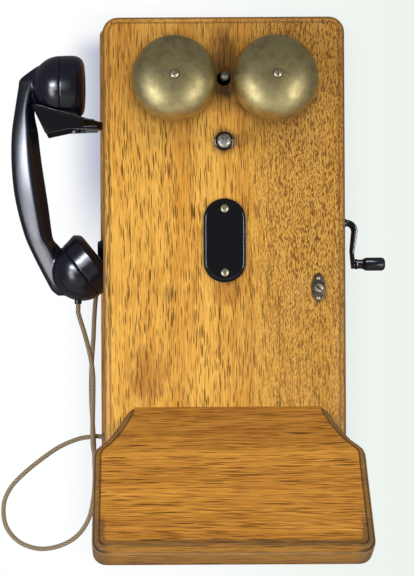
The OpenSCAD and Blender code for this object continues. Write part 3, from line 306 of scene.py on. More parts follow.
# Distance inwards from the edge of a rounded rectangle in X and Z
def makeBoardEdge():
    tree, start, end = newGroup(
        "boardEdge",
        {"Vector": (0.0, 0.0, 0.0), "Half": (0.1, 0.0, 0.2), "Corner": 0.01},
        {"Inset": float},
    )
    size = vectorMath("ABSOLUTE", start["Vector"])
    corner = vectorOf(tree, start["Corner"], 0.0, start["Corner"])
    core = vectorMath("SUBTRACT", start["Half"], corner)
    parts = partsOf(vectorMath("SUBTRACT", size, core))
    x = calc("MAXIMUM", parts["X"], 0.0)
    z = calc("MAXIMUM", parts["Z"], 0.0)
    outside = vectorMath("LENGTH", vectorOf(tree, x, 0.0, z))
    inside = calc("MINIMUM", calc("MAXIMUM", parts["X"], parts["Z"]), 0.0)
    tree.links.new(minus(start["Corner"], plus(outside, inside)), end["Inset"])
    return tree


def tone(red, green, blue):
    levels = [c / 255 for c in (red, green, blue)]
    linear = [c / 12.92 if c <= 0.04045 else ((c + 0.055) / 1.055) ** 2.4 for c in levels]
    return [*linear, 1]


# Empties the nodes of a material or a world
def emptied(owner, output):
    owner.use_nodes = True
    owner.node_tree.nodes.clear()
    return owner.node_tree, owner.node_tree.nodes.new(output).inputs["Surface"]


def shaded(name, build, bump=0.0002):
    material = bpy.data.materials.new(name)
    tree, surface = emptied(material, "ShaderNodeOutputMaterial")
    inputs, height = build(tree.nodes.new("ShaderNodeTexCoord").outputs)
    bumped = addNode(tree, "ShaderNodeBump", {"Height": height, "Distance": bump, "Strength": 0.8})
    inputs["Normal"] = bumped.outputs[0]
    tree.links.new(addNode(tree, "ShaderNodeBsdfPrincipled", inputs).outputs[0], surface)
    return material


# Finishes

oakGrain = makeOakGrain(grain)
stain = makeStainAndShadeSpot(spotEdge)
boardEdge = makeBoardEdge()

oakTones = {
    "door": {"Pale": tone(249, 191, 87), "Deep": tone(212, 144, 50), "Pore": tone(92, 50, 4)},
    "case": {"Pale": tone(226, 171, 90), "Deep": tone(180, 122, 52), "Pore": tone(100, 60, 22)},
    "shelf": {"Pale": tone(228, 160, 58), "Deep": tone(168, 106, 28), "Pore": tone(70, 36, 4)},
}


# Turns a board's coordinates so that its grain runs along Z
def alongGrain(where, axis, shift=(0, 0, 0), size=(1, 1, 1)):
    parts = partsOf(where)
    order = {"X": "ZYX", "Z": "XYZ"}[axis]
    return mapped(vectorOf(where.id_data, *[parts[a] for a in order]), size, shift=shift)


def polishedOak(colour, wood):
    inputs = {"Base Color": colour, "Roughness": wood["Roughness"], "Specular IOR Level": 0.25}
    return inputs, wood["Height"]


def oakFinish(name, axis="Z", shift=(0, 0, 0)):
    def build(coordinates):
        vector = alongGrain(coordinates["Object"], axis, shift)
        wood = useGroup(oakGrain, vector, {"Pores": 0.8, **oakTones["case"]})
        return polishedOak(wood["Color"], wood)

    return shaded(name, build)


# the dark tone is painted shade, for the gongs' shadows and the moulding's step; the sooty tone is soot
# on the board and also the painted shade of two pin holes
dark, sootAndShade, rusty = tone(70, 48, 28), tone(58, 44, 34), tone(150, 84, 34)
door = {
    "corner": 0.014,
    "quartered": (0.005, 0.06),  # across, from plain to flecked wood
    "flecks": (-0.1, 0.05, 0.6, 0.95),  # from and to a height, and how strong at each
    "front": (doorFront + 0.006, doorFront + 0.003),
    # painted shade: a dark band along the step of the moulded edge
    "paintedStepShade": ((0.0075, 0.006), (0.0045, 0.0058)),  # inwards from the edge
    "paintedStepShadeAmount": 0.55,
    "worn": (0.0035, 0.0008, 0.0, 0.75),  # from, to, and how strong at each
    "marks": {  # x, z, radius, softness, how dark, height over width, colour
        # painted shadows of the gongs, dark rings just outside their rims
        "leftGongShadow": (-0.0447, 0.184, 0.0405, 0.0045, 0.3, 1, dark),
        "rightGongShadow": (0.0447, 0.184, 0.0405, 0.0045, 0.3, 1, dark),
        "smudge": (0.0, 0.195, 0.014, 0.009, 0.6, 2.2, sootAndShade),
        "clapperRing": (0.0, 0.183, 0.01, 0.004, 0.75, 1.4, sootAndShade),
        "buttonRing": (0.0, 0.1296, 0.0115, 0.004, 0.65, 1, sootAndShade),
        "besideButton": (0.013, 0.1316, 0.014, 0.006, 0.3, 0.5, sootAndShade),
        "underPlate": (0.002, -0.006, 0.014, 0.005, 0.42, 0.8, rusty),
        "greyPatch": (-0.052, -0.007, 0.007, 0.004, 0.3, 1, sootAndShade),
        "lowerLeft": (-0.068, -0.076, 0.017, 0.008, 0.4, 1.2, rusty),
        "lowestLeft": (-0.074, -0.096, 0.009, 0.006, 0.3, 1.4, rusty),
        # painted shade: dark dots stand in for two pin holes
        "firstPinHole": (0.001, 0.1715, 0.0011, 0.0004, 0.95, 1, sootAndShade),
        "secondPinHole": (0.0, 0.2, 0.0011, 0.0004, 0.95, 1, sootAndShade),
    },
    # painted shade: the door darkens to the right and towards the top, where less lamp light falls
    "right": (-0.02, 0.08, 0.0, 0.3),  # darker to the right and the top
    "top": (0.06, 0.25, 0.0, 0.36),
}


def doorBuild(coordinates):
    where = coordinates["Object"]
    parts = partsOf(where)
    quartered = ramp(parts["X"], *door["quartered"])
    inputs = {
        "Pores": ramp(quartered, 0, 1, 1.0, 0.8),
        "Fleck": times(quartered, ramp(parts["Z"], *door["flecks"])),
        **oakTones["door"],
    }
    wood = useGroup(oakGrain, where, inputs)
    front = ramp(parts["Y"], *door["front"])
    layers = []
    for x, z, radius, softness, amount, tall, markColour in door["marks"].values():
        spot = {"Centre": (x, 0, z), "Shape": (1, 0, 1 / tall), "Radius": radius, "Softness": softness}
        layers.append((markColour, useGroup(stain, where, spot)["Mask"], front, amount))
    outline = {"Half": (doorHigh - doorLow) / 2, "Corner": door["corner"]}
    edge = useGroup(boardEdge, where, outline)["Inset"]
    layers += [
        # painted shade along the moulding's step
        (dark, band(edge, *door["paintedStepShade"]), door["paintedStepShadeAmount"]),
        (tone(104, 90, 76), ramp(edge, *door["worn"])),
        # painted shade, darker to the right and towards the top
        (tone(120, 78, 26), ramp(parts["X"], *door["right"])),
        (tone(116, 74, 28), ramp(parts["Z"], *door["top"])),
    ]
    return polishedOak(layered(wood["Color"], layers), wood)


shelfWear = {
    "grain": ((0.3, 0.1, 0.2), (1.45, 1.45, 0.62)),  # shift, size
    "upper": (-0.17, -0.11),  # heights
    "lower": (-0.19, -0.2),
    "middle": 0.002,  # across
    "sides": (0.1, 0.112),
    "ragged": (250, 250, 60),
    "raggedBy": 0.006,
    # painted shade in the crease of the moulding along the front
    "paintedCreaseShade": ((0.012, 0.0095), (0.005, 0.0065)),  # this and the next ones: inwards from the edge
    "dim": (0.0085, 0.0055),
    "grey": (0.007, 0.0058),
    # painted shade in the moulding's two grooves
    "paintedGrooveShade": ((0.0016, 0.001), (0.0064, 0.0011)),  # middle, half width
    # painted highlight: a pale line along the bevelled edge
    "paintedEdgeHighlight": (0.0005, 0.0002),
}


def shelfBuild(coordinates):
    s = shelfWear
    where = coordinates["Object"]
    parts = partsOf(where)
    vector = alongGrain(where, "X", *s["grain"])
    wood = useGroup(oakGrain, vector, {"Pores": 1.0, **oakTones["shelf"]})
    edge = addNode(where.id_data, "ShaderNodeAttribute", attribute_name="inset").outputs["Fac"]
    wander = minus(noiseOn(vector, s["ragged"], detail=3), 0.5)
    line = plus(edge, times(wander, s["raggedBy"]))
    lower = ramp(parts["Z"], *s["lower"])
    across = calc("ABSOLUTE", minus(parts["X"], s["middle"]))
    higher = ramp(parts["Z"], *reversed(s["lower"]))
    sides = calc("MAXIMUM", ramp(across, *s["sides"]), higher)
    layers = [
        (tone(130, 80, 16), ramp(parts["Z"], *s["upper"]), 0.4),
        # painted shade in the moulding's crease
        (tone(74, 60, 40), band(line, *s["paintedCreaseShade"]), lower, 0.6),
        (tone(120, 96, 60), ramp(edge, *s["dim"]), lower, 0.4),
        (tone(104, 86, 62), ramp(edge, *s["grey"]), sides, 0.55),
    ]
    # painted shade: dark lines in the grooves
    for middle, width in s["paintedGrooveShade"]:
        away = calc("ABSOLUTE", minus(edge, middle))
        layers.append((tone(50, 36, 24), ramp(away, width, width * 0.4), sides, 0.75))
    # painted highlight along the bevelled edge
    corner = calc("ABSOLUTE", minus(edge, s["paintedEdgeHighlight"][0]))
    layers.append((tone(186, 172, 146), ramp(corner, *s["paintedEdgeHighlight"]), 0.4))
    return polishedOak(layered(wood["Color"], layers), wood)


# the slot values paint shade into the slots
metalWear = {"patches": (0.4, 0.68), "specks": (0.5, 0.72), "paintedSlotShade": 0.92, "slotReach": 0.0004}


# Metal or enamel with dull patches, and painted shade in the slots from a depth along Y
def metalFinish(
    name, colour, roughness, metallic=1.0, mottle=0.15, dull=None, grainy=500, patchy=60, slot=None
):
    dull = dull or [c * 0.6 for c in colour[:3]] + [1]

    def build(coordinates):
        where = coordinates["Object"]
        patches = noiseOn(where, [patchy] * 3, detail=4, roughness=0.6)
        specks = noiseOn(where, [grainy] * 3)
        patched = ramp(patches, *metalWear["patches"])
        layers = [(dull, calc("MULTIPLY", patched, mottle * 3, clamp=True))]
        if slot:
            # painted shade: the slots darken from their depth inwards
            deep = ramp(partsOf(where)["Y"], slot, slot + metalWear["slotReach"])
            layers.append((tone(34, 28, 22), deep, metalWear["paintedSlotShade"]))
        layers.append((dull, ramp(specks, *metalWear["specks"]), mottle * 1.6))
        rough = plus(times(patches, mottle), roughness - mottle / 2)
        colours = layered(colour, layers)
        return {"Base Color": colours, "Roughness": rough, "Metallic": metallic}, specks

    return shaded(name, build, 0.00002)


cordWeave = {
    "strands": 6,
    "pitch": 0.0042,
    "threads": (tone(196, 176, 138), tone(150, 130, 98)),
    "dust": tone(204, 192, 164),
    "paintedGapShade": tone(78, 66, 50),
}


def clothBuild(coordinates):
    s = cordWeave
    parts = partsOf(coordinates["UV"])
    around = times(parts["X"], 2 * math.pi * s["strands"])
    along = times(parts["Y"], 2 * math.pi / s["pitch"])
    left = calc("SINE", plus(around, along))
    right = calc("SINE", minus(around, along))
    weave = calc("MAXIMUM", left, right)
    dusty = noiseOn(coordinates["Object"], (90, 90, 90), detail=3)
    thread = mixColour(ramp(minus(left, right), -0.5, 0.5), *s["threads"])
    # dust on the threads, and painted shade in the gaps between them
    layers = [(s["dust"], dusty, 0.5), (s["paintedGapShade"], ramp(weave, 0.6, -0.2))]
    colour = layered(thread, layers)
    return {"Base Color": colour, "Roughness": 0.85, "Sheen Weight": 0.2}, weave


def silkBuild(coordinates):
    where = coordinates["Object"]
    fibres = noiseOn(where, (900, 900, 900))
    colour = mixColour(fibres, tone(26, 66, 44), tone(60, 110, 76))
    return {"Base Color": colour, "Roughness": 0.55}, fibres


def cardBuild(coordinates):
    where = coordinates["Object"]
    scuffs = noiseOn(where, (70, 70, 30), detail=4)
    fibres = noiseOn(where, (700, 700, 700))
    colour = mixColour(ramp(scuffs, 0.45, 0.7), tone(150, 62, 40), tone(120, 84, 60))
    return {"Base Color": colour, "Roughness": 0.75}, fibres


materials = {
    "oak_door": shaded("oakDoor", doorBuild, 0.00025),
    "oak_shelf": shaded("oakShelf", shelfBuild, 0.00025),
    "oak_case": oakFinish("oakCase"),
    "bright_brass": metalFinish("brightBrass", tone(226, 190, 112), 0.28, mottle=0.12),
    "aged_brass": metalFinish(
        "agedBrass",
        tone(202, 190, 138),
        0.44,
        mottle=0.18,
        dull=tone(150, 132, 98),
        patchy=80,
        grainy=420,
    ),
    "steel": metalFinish("steel", tone(190, 190, 186), 0.34, mottle=0.12),
    "black_iron": metalFinish("blackIron", tone(10, 13, 21), 0.2, 0.0, mottle=0.1),
    "bakelite": metalFinish("bakelite", tone(16, 18, 32), 0.22, 0.0, mottle=0.08, grainy=300),
    "capsule_metal": metalFinish("capsuleMetal", tone(172, 172, 170), 0.3, mottle=0.1),
    "silk_wire": shaded("silkWire", silkBuild, 0.00005),
    "cell_card": shaded("cellCard", cardBuild, 0.00004),
    "cloth_cord": shaded("clothCord", clothBuild, 0.00025),
}


# Worn metal with painted shade in its slots, from a depth behind its own front
def slotted(node, depth):
    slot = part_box(node)[0].y + depth
    dull = tone(150, 134, 104)
    return metalFinish(
        node + "Worn", tone(228, 218, 192), 0.4, mottle=0.2, dull=dull, patchy=300, slot=slot
    )


ownFinishes = {  # nodes that differ from the rest of their slot
    "gong_screws": slotted("gong_screws", 0.0009),
    "plate_screws": slotted("plate_screws", 0.0008),
    "lock_plate_screws": slotted("lock_plate_screws", 0.0005),
    "lock_barrel": slotted("lock_barrel", 0.0004),
    "lock_plate": metalFinish(
        "agedIron", tone(128, 118, 102), 0.4, 0.85, mottle=0.3, dull=tone(60, 52, 44), patchy=300
    ),
    "push_button": metalFinish(
        "darkSteel", tone(222, 222, 214), 0.42, mottle=0.3, dull=tone(104, 102, 98), patchy=420
    ),
    "clapper": metalFinish("ballSteel", tone(150, 152, 152), 0.5, mottle=0.3, patchy=400),
    "hook_lever": metalFinish("hookEnamel", tone(10, 13, 19), 0.14, 0.0, mottle=0.05),
    "case_top": oakFinish("case_topOak", "X", (0.4, 0.2, 0.1)),
    "case_bottom": oakFinish("case_bottomOak", "X", (0.1, 0.5, 0.3)),
    "generator_shelf": oakFinish("generator_shelfOak", "X", (0.7, 0.1, 0.6)),
    "backboard": oakFinish("backboardOak", "Z", (0.5, 0.9, 0.2)),
}
print("materials:", len(materials) + len(ownFinishes))

# Mesh building


def linkMesh(name, mesh):
    obj = bpy.data.objects.new(name, mesh)
    scene.collection.objects.link(obj)
    return obj


def newMesh(name, vertices, faces):
    mesh = bpy.data.meshes.new(name)
    mesh.from_pydata([tuple(v) for v in vertices], [], faces)
    mesh.update()
    return mesh


# Applies an object's modifiers to a new mesh
def bake(obj):
    graph = bpy.context.evaluated_depsgraph_get()
    mesh = bpy.data.meshes.new_from_object(obj.evaluated_get(graph))
    mesh.name = obj.name
    obj.modifiers.clear()
    obj.data = mesh
    return obj


def shadeByAngle(mesh, degrees):
    mesh.shade_smooth()
    mesh.set_sharp_from_angle(angle=math.radians(degrees))


# Gives a finished piece its material, its body and the CAD node that it stands for
def place(obj, node, angle=32):
    shadeByAngle(obj.data, angle)
    slotName = slotOfNode[node]
    obj.data.materials.clear()
    obj.data.materials.append(ownFinishes.get(node, materials[slotName]))
    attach(obj, cadNodes[node]["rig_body"])
    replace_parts(obj, node)
    return obj


solids = {"merge": 2e-6, "flat": 0.6, "bevelSegments": 2, "bevelFrom": 38}  # angles in degrees


def cadCopy(node):
    mesh = cadNodes[node].data.copy()
    mesh.transform(cadNodes[node].matrix_world)
    for attribute in [a.name for a in mesh.attributes if a.name.startswith("custom_normal")]:
        mesh.attributes.remove(mesh.attributes[attribute])
    form = bmesh.new()
    form.from_mesh(mesh)
    bmesh.ops.remove_doubles(form, verts=form.verts, dist=solids["merge"])
    flat = math.radians(solids["flat"])
    bmesh.ops.dissolve_limit(form, angle_limit=flat, verts=form.verts, edges=form.edges)
    form.to_mesh(mesh)
    form.free()
    mesh.name = node
    return linkMesh(node + "Visual", mesh)


def bevelled(obj, width):
    modifier = obj.modifiers.new("bevel", "BEVEL")
    modifier.width = width
    modifier.segments = solids["bevelSegments"]
    modifier.limit_method = "ANGLE"
    modifier.angle_limit = math.radians(solids["bevelFrom"])
    return bake(obj)


bevels = {  # widths, with 0.2 mm on the rest
    0.0005: ("door_panel",),
    0.0004: (
        "backboard", "case_top", "case_bottom", "case_left_side", "case_right_side",
        "generator_shelf", "cell_retainer", "crank_arm", "lock_plate",
    ),
    0.0003: (
        "receiver_capsule", "transmitter_capsule", "handset_cord_collar", "crank_grip",
        "button_bezel",
    ),
    0.00012: ("drive_gear",),
    0.0001: ("hook_switch_springs",),
}
widths = {node: width for width, nodes in bevels.items() for node in nodes}


def polished(*nodes):
    for node in nodes:
        place(bevelled(cadCopy(node), widths.get(node, 0.0002)), node)


# Rounds the corners of an open profile
def softened(points, radius, steps):
    points = [np.array(p, float) for p in points]
    result = [points[0]]
    for before, corner, after in zip(points, points[1:], points[2:]):
        arms = [before - corner, after - corner]
        lengths = [np.linalg.norm(a) for a in arms]
        reach = [min(radius, l * 0.45) for l in lengths]
        a, b = (corner + arm / l * r for arm, l, r in zip(arms, lengths, reach))
        for t in np.linspace(0, 1, steps + 1):
            result.append((1 - t) ** 2 * a + 2 * t * (1 - t) * corner + t * t * b)
    return result + [points[-1]]


def outward(mesh):
    form = bmesh.new()
    form.from_mesh(mesh)
    bmesh.ops.recalc_face_normals(form, faces=form.faces)
    form.to_mesh(mesh)
    form.free()
    return mesh


# Turns a profile of radius and height about Z, then places it
def turned(name, profile, placement, sides=96):
    angles = np.linspace(0, 2 * np.pi, sides, endpoint=False)
    vertices, faces, rings = [], [], []
    for radius, height in profile:
        ring = angles if radius else angles[:1]
        rings.append((len(vertices), bool(radius)))
        vertices += [(radius * np.cos(a), radius * np.sin(a), height) for a in ring]
    for (first, wide), (second, wider) in zip(rings, rings[1:]):
        for i in range(sides):
            j = (i + 1) % sides
            lower = [first + i, first + j] if wide else [first]
            upper = [second + j, second + i] if wider else [second]
            faces.append(lower + upper)
    mesh = newMesh(name, vertices, faces)
    mesh.transform(placement)
    return outward(mesh)


# A placement with its Z axis turned to a direction
def facing(x, y, z, direction):
    turn = Vector((0, 0, 1)).rotation_difference(Vector(direction)).to_matrix().to_4x4()
    return Matrix.Translation((x, y, z)) @ turn


# A smooth curve through points
def curveThrough(points, steps):
    points = [np.array(p, float) for p in points]
    ends = [2 * points[0] - points[1], *points, 2 * points[-1] - points[-2]]
    result = []
    for a, b, c, d in zip(ends, ends[1:], ends[2:], ends[3:]):
        square, cube = 2 * a - 5 * b + 4 * c - d, 3 * b - a - 3 * c + d
        for t in np.linspace(0, 1, steps, endpoint=False):
            result.append(0.5 * (2 * b + (c - a) * t + square * t**2 + cube * t**3))
    return np.array(result + [points[-1]])


# Frames along a path that don't twist
def framesAlong(path):
    tangents = np.gradient(path, axis=0)
    tangents /= np.linalg.norm(tangents, axis=1)[:, None]
    side = np.cross(tangents[0], (0, 0, 1.0))
    if np.linalg.norm(side) < 0.1:
        side = np.cross(tangents[0], (0, 1.0, 0))
    frames = []
    for tangent in tangents:
        side = side - tangent * side.dot(tangent)
        side /= np.linalg.norm(side)
        frames.append((side, np.cross(tangent, side)))
    return frames


# Quads between rings of points, and a face over each end
def loftFaces(rings, sides):
    last = (rings - 1) * sides
    faces = [
        (a + i, a + (i + 1) % sides, a + sides + (i + 1) % sides, a + sides + i)
        for a in range(0, last, sides)
        for i in range(sides)
    ]
    return [*faces, tuple(reversed(range(sides))), tuple(range(last, last + sides))]


def tube(name, path, radius, sides):
    vertices = []
    angles = np.linspace(0, 2 * np.pi, sides, endpoint=False)
    for point, (side, up) in zip(path, framesAlong(path)):
        vertices += [point + radius * (np.cos(a) * side + np.sin(a) * up) for a in angles]
    return newMesh(name, vertices, loftFaces(len(path), sides))


# Cord

cordPiece = {
    "diameter": 0.0045,
    "ringStep": 0.0008,
    "sides": 24,
    "route": [
        (-93, -35, 8), (-99, -35, 8), (-105, -35, 8), (-112, -35, 5.5), (-117, -35, -1),
        (-119.5, -35, -12), (-121, -34, -30), (-122, -33, -50), (-123.5, -31, -70),
        (-124.5, -29, -90), (-124.5, -27, -111), (-123.5, -25, -132), (-122.5, -23.5, -152),
        (-122, -21, -172), (-122, -18, -192), (-124, -14, -212), (-129, -11, -231),
        (-140, -9, -247), (-157, -8, -257), (-178, -8, -260), (-198, -8, -253), (-211, -8, -237),
        (-213, -9, -216), (-206, -11, -199), (-192, -12, -184), (-174, -13, -169.5),
        (-156, -14.5, -157.5), (-138, -16, -150), (-123, -17.5, -147.5), (-115.5, -19.5, -147.5),
        (-108, -22, -151), (-104, -26, -159), (-107, -30, -167.5), (-114, -33.5, -170.5),
        (-120, -36, -165.5), (-122.5, -38, -156), (-123, -40, -142), (-122.5, -42, -122),
        (-122, -44.5, -103), (-122, -48, -84), (-124.5, -52.5, -65), (-129, -57, -46),
        (-133, -61.5, -32), (-135, -65, -24), (-135, -65, -20), (-135, -65, -16),
    ],
}  # millimetres


def evenly(path, step):
    lengths = np.concatenate([[0], np.cumsum(np.linalg.norm(np.diff(path, axis=0), axis=1))])
    count = int(lengths[-1] / step) + 1
    places = np.linspace(0, lengths[-1], count)
    return np.stack([np.interp(places, lengths, path[:, i]) for i in range(3)], axis=1), places


def makeCord(s):
    path, places = evenly(curveThrough(s["route"], 12) * mm, s["ringStep"])
    mesh = tube("cord", path, s["diameter"] / 2, s["sides"])
    layer = mesh.uv_layers.new(name="braid")
    uvs = np.zeros((len(mesh.loops), 2))  # the end faces stay at zero
    quads = [
        [(u, start), (v, start), (v, stop), (u, stop)]
        for start, stop in zip(places, places[1:])
        for u, v in [(i / s["sides"], (i + 1) / s["sides"]) for i in range(s["sides"])]
    ]
    uvs[: 4 * len(quads)] = np.reshape(quads, (-1, 2))
    layer.data.foreach_set("uv", uvs.ravel())
    obj = place(linkMesh("cordVisual", mesh), "handset_cord", angle=60)
    print("cord: length", round(float(places[-1]), 4))


makeCord(cordPiece)

# Gongs

gongPiece = {
    "radius": 0.038,
    "height": 0.025,
    "thickness": 0.002,
    "hole": 0.0024,
    "rounding": (0.82, 0.9),  # under 1 is fuller than an ellipse, across and up
    "outer": (86.4, 40),  # degrees up the side, and steps
    "inner": (75, 24),
    "places": {"gong_left": -0.0447, "gong_right": 0.0447},
    "up": 0.184,
    "rim": doorFront - 0.011,
}


def domeSide(radius, height, rounding, high, count):
    angles = np.radians(np.linspace(0, high, count))
    wide, tall = rounding
    return [(radius * np.cos(a) ** wide, height * np.sin(a) ** tall) for a in angles]


def makeGong(node, x, s):
    outer = domeSide(s["radius"], s["height"], s["rounding"], *s["outer"])
    r, h = s["radius"] - s["thickness"], s["height"] - s["thickness"]
    inner = domeSide(r, h, s["rounding"], *s["inner"])
    profile = [(s["hole"], h), *reversed(inner), *outer, (s["hole"], s["height"]), (s["hole"], h)]
    mesh = turned(node, profile, facing(x, s["rim"], s["up"], (0, -1, 0)), 128)
    place(linkMesh(node + "Visual", mesh), node, angle=50)


for node, x in gongPiece["places"].items():
    makeGong(node, x, gongPiece)
print("gongs: done")

# Handset

handset = {
    "middleY": -0.065,
    "depth": 0.027,
    "voxel": 0.0008,
    "sections": [  # height, outer edge, inner edge, share of the depth; millimetres
        (-8, -154, -142, 0.45), (-3, -160, -136, 0.75), (6, -165, -138, 0.9),
        (17, -170.8, -142, 0.95), (27, -175.8, -147, 0.95), (38, -181, -152, 0.95),
        (45, -184, -158, 0.95), (54, -187, -160, 0.96), (72, -191.8, -162.3, 0.98),
        (91, -195.4, -165, 1), (111, -197.3, -168, 1), (130, -197.8, -170.5, 1),
        (148, -197, -172.5, 0.97), (165, -194.6, -175.5, 0.93), (180, -192.2, -174, 0.9),
        (190, -190.6, -170, 0.88), (197, -189.2, -165, 0.85), (204, -181, -162, 0.7),
        (210, -172.5, -158, 0.5),
    ],
    "broad": [(-1, 0), (-0.97, 0.4), (-0.84, 0.66), (-0.5, 0.82), (0.0, 0.97), (0.25, 1), (0.41, 0.97)],
    "hollow": [(0.41, 0.97), (0.52, 0.72), (0.8, 0.42), (1, 0.24)],
}
ear = {
    "centre": (-0.1503, -0.065, 0.190),
    "tilt": 90,
    "radius": 0.0297,
    "rings": [(0, 1), (6.5, 6)],
    "profile": lambda r: [
        (25, 0), (r, 0), (r + 0.2, 11), (r - 0.3, 15), (r - 1.6, 18.2), (r - 4, 20.8),
        (r - 8, 22.3), (r - 14, 22.8), (13.5, 21), (9, 18.4), (0, 17.4),
    ],
}
mouth = {
    "centre": (-0.1319, -0.065, 0.0155),
    "tilt": 52,
    "radius": 0.0289,
    "rings": [(0, 1), (5.5, 6), (11, 12)],
    "profile": lambda r: [
        (25, 0), (r, 0), (r + 1, 8), (r + 2.1, 14), (r + 2.1, 15.5), (r - 1, 19.4),
        (r - 3, 20.8), (r - 6, 21.3), (20, 20.6), (15, 18.2), (0, 17),
    ],
}
cup = {  # radii and heights from the rim, in metres
    "depth": 0.028,
    "recess": [(0, -0.014), (0.022, -0.014), (0.022, 0), (0.045, 0), (0.045, 0.02), (0, 0.02)],
    "capInside": [(0, 0.013), (0.025, 0.013), (0.025, 0)],
    "hole": [(0, 0), (0.0011, 0), (0.0011, 0.02), (0, 0.02)],
    "holeFrom": 0.005,
    "soft": (0.0016, 5),  # radius and steps of the caps' soft corners
}


def atCup(c):
    return Matrix.Translation(c["centre"]) @ Matrix.Rotation(math.radians(c["tilt"]), 4, "Y")


def joined(name, meshes):
    form = bmesh.new()
    for mesh in meshes:
        form.from_mesh(mesh)
    mesh = bpy.data.meshes.new(name)
    form.to_mesh(mesh)
    form.free()
    return linkMesh(name, mesh)


def cutWith(obj, cutter):
    modifier = obj.modifiers.new("cut", "BOOLEAN")
    modifier.operation = "DIFFERENCE"
    modifier.solver = "MANIFOLD"
    modifier.object = cutter
    bake(obj)
    bpy.data.objects.remove(cutter)


def handleLoft(s):
    sections = curveThrough(s["sections"], 5)
    broad = curveThrough(s["broad"], 4)
    hollow = curveThrough(s["hollow"], 5)
    half = np.concatenate([broad, hollow[1:]])
    ringShape = np.concatenate([half * (1, -1), half[::-1][:-1]])
    vertices = []
    for z, outer, inner, share in sections:
        middle, reach = (outer + inner) / 2, (inner - outer) / 2
        deep = share * s["depth"] / mm / 2
        vertices += [
            ((middle + reach * a) * mm, s["middleY"] + deep * b * mm, z * mm) for a, b in ringShape
        ]
    return outward(newMesh("handle", vertices, loftFaces(len(sections), len(ringShape))))


def bowl(c):
    angles = np.linspace(0, math.pi / 2, 24)[:-1]
    side = [(c["radius"] * math.cos(a), -cup["depth"] * math.sin(a)) for a in angles]
    return turned("bowl", [(0, 0), *side, (0, -cup["depth"])], atCup(c))


def makeHandle(s):
    obj = joined("handsetHandle", [handleLoft(s), bowl(ear), bowl(mouth)])
    remesh = obj.modifiers.new("remesh", "REMESH")
    remesh.mode = "VOXEL"
    remesh.voxel_size = s["voxel"]
    smooth = obj.modifiers.new("smooth", "SMOOTH")
    smooth.factor = 0.5
    smooth.iterations = 4
    bake(obj)
    for c in (ear, mouth):
        cutWith(obj, linkMesh("recess", turned("recess", cup["recess"], atCup(c))))
    print("handle:", len(obj.data.polygons), "faces")
    place(obj, "handset_handle", angle=50)


def makeCap(node, c):
    profile = [(r * mm, h * mm) for r, h in c["profile"](c["radius"] / mm)]
    outside = softened(profile, *cup["soft"])[1:]
    mesh = turned(node, [*cup["capInside"], *outside], atCup(c), 128)
    obj = linkMesh(node + "Visual", mesh)
    holes = []
    for radius, count in c["rings"]:
        for i in range(count):
            a = 2 * math.pi * i / count
            spot = (radius * mm * math.cos(a), radius * mm * math.sin(a), cup["holeFrom"])
            holes.append(turned("hole", cup["hole"], atCup(c) @ Matrix.Translation(spot), 20))
    cutWith(obj, joined("holes", holes))
    place(obj, node, angle=40)


makeHandle(handset)
makeCap("ear_cap", ear)
makeCap("mouth_cap", mouth)
polished("receiver_capsule", "transmitter_capsule", "handset_cord_collar")
print("handset: done")

# Oak boards

shelf = {
    "slope": 36,
    "origin": (0.002, doorFront, -0.1075),
    "width": 0.238,
    "topWidth": 0.18,
    "length": 0.1395,
    "corner": 0.012,
    "clip": 0.046,
    "bevel": 0.0006,
    "grid": 0.004,
    "clipCurve": [
        (0, 0), (0.03, 0.1), (0.2, 0.31), (0.42, 0.53), (0.6, 0.68), (0.8, 0.79), (0.94, 0.88),
        (1, 1),
    ],
}


def shelfOutline(s):
    top, side, corner = s["topWidth"] / 2, s["width"] / 2, s["corner"]
    right = [(top + (side - top) * a, -s["clip"] * b) for a, b in s["clipCurve"]]
    for a in np.linspace(0, -math.pi / 2, 10):
        right.append((side + corner * (math.cos(a) - 1), corner * (math.sin(a) + 1) - s["length"]))
    return np.array(right + [(-x, y) for x, y in reversed(right)])


def shelfPlane(s):
    return Matrix.Translation(s["origin"]) @ Matrix.Rotation(math.radians(90 - s["slope"]), 4, "X")


# Keeps the distance inwards from the outline, for the moulded edge
def addInset(mesh, s):
    outline = shelfOutline(s)
    flatten = shelfPlane(s).inverted()
    closed = np.vstack([outline, outline[:1]])
    starts, steps = closed[:-1], np.diff(closed, axis=0)
    values = []
    for vertex in mesh.vertices:
        flat = flatten @ vertex.co
        away = np.array((flat.x, flat.y)) - starts
        along = np.clip((away * steps).sum(1) / (steps * steps).sum(1), 0, 1)
        values.append(np.linalg.norm(away - steps * along[:, None], axis=1)[:-1].min())
    layer = mesh.attributes.new("inset", "FLOAT", "POINT")
    layer.data.foreach_set("value", values)


# Cuts the board into a fine grid, so that the inset is right all over it
def gridded(mesh, s):
    plane, step = shelfPlane(s), s["grid"]
    form = bmesh.new()
    form.from_mesh(mesh)
    cuts = [((x, 0, 0), (1, 0, 0)) for x in np.arange(-s["width"] / 2, s["width"] / 2, step)]
    cuts += [((0, -y, 0), (0, 1, 0)) for y in np.arange(step, s["length"], step)]
    for point, normal in cuts:
        bmesh.ops.bisect_plane(
            form,
            geom=[*form.verts, *form.edges, *form.faces],
            plane_co=plane @ Vector(point),
            plane_no=plane.to_3x3() @ Vector(normal),
        )
    bmesh.ops.triangulate(form, faces=[f for f in form.faces if len(f.verts) > 4])
    form.to_mesh(mesh)
    form.free()


def makeShelf(s):
    obj = bevelled(cadCopy("writing_shelf"), s["bevel"])
    gridded(obj.data, s)
    addInset(obj.data, s)
    place(obj, "writing_shelf")


makeShelf(shelf)
polished("door_panel", "backboard", "case_top", "case_bottom", "generator_shelf")
polished("case_left_side", "case_right_side", "cell_retainer")
print("oak: done")

# Screws and windings, by geometry nodes


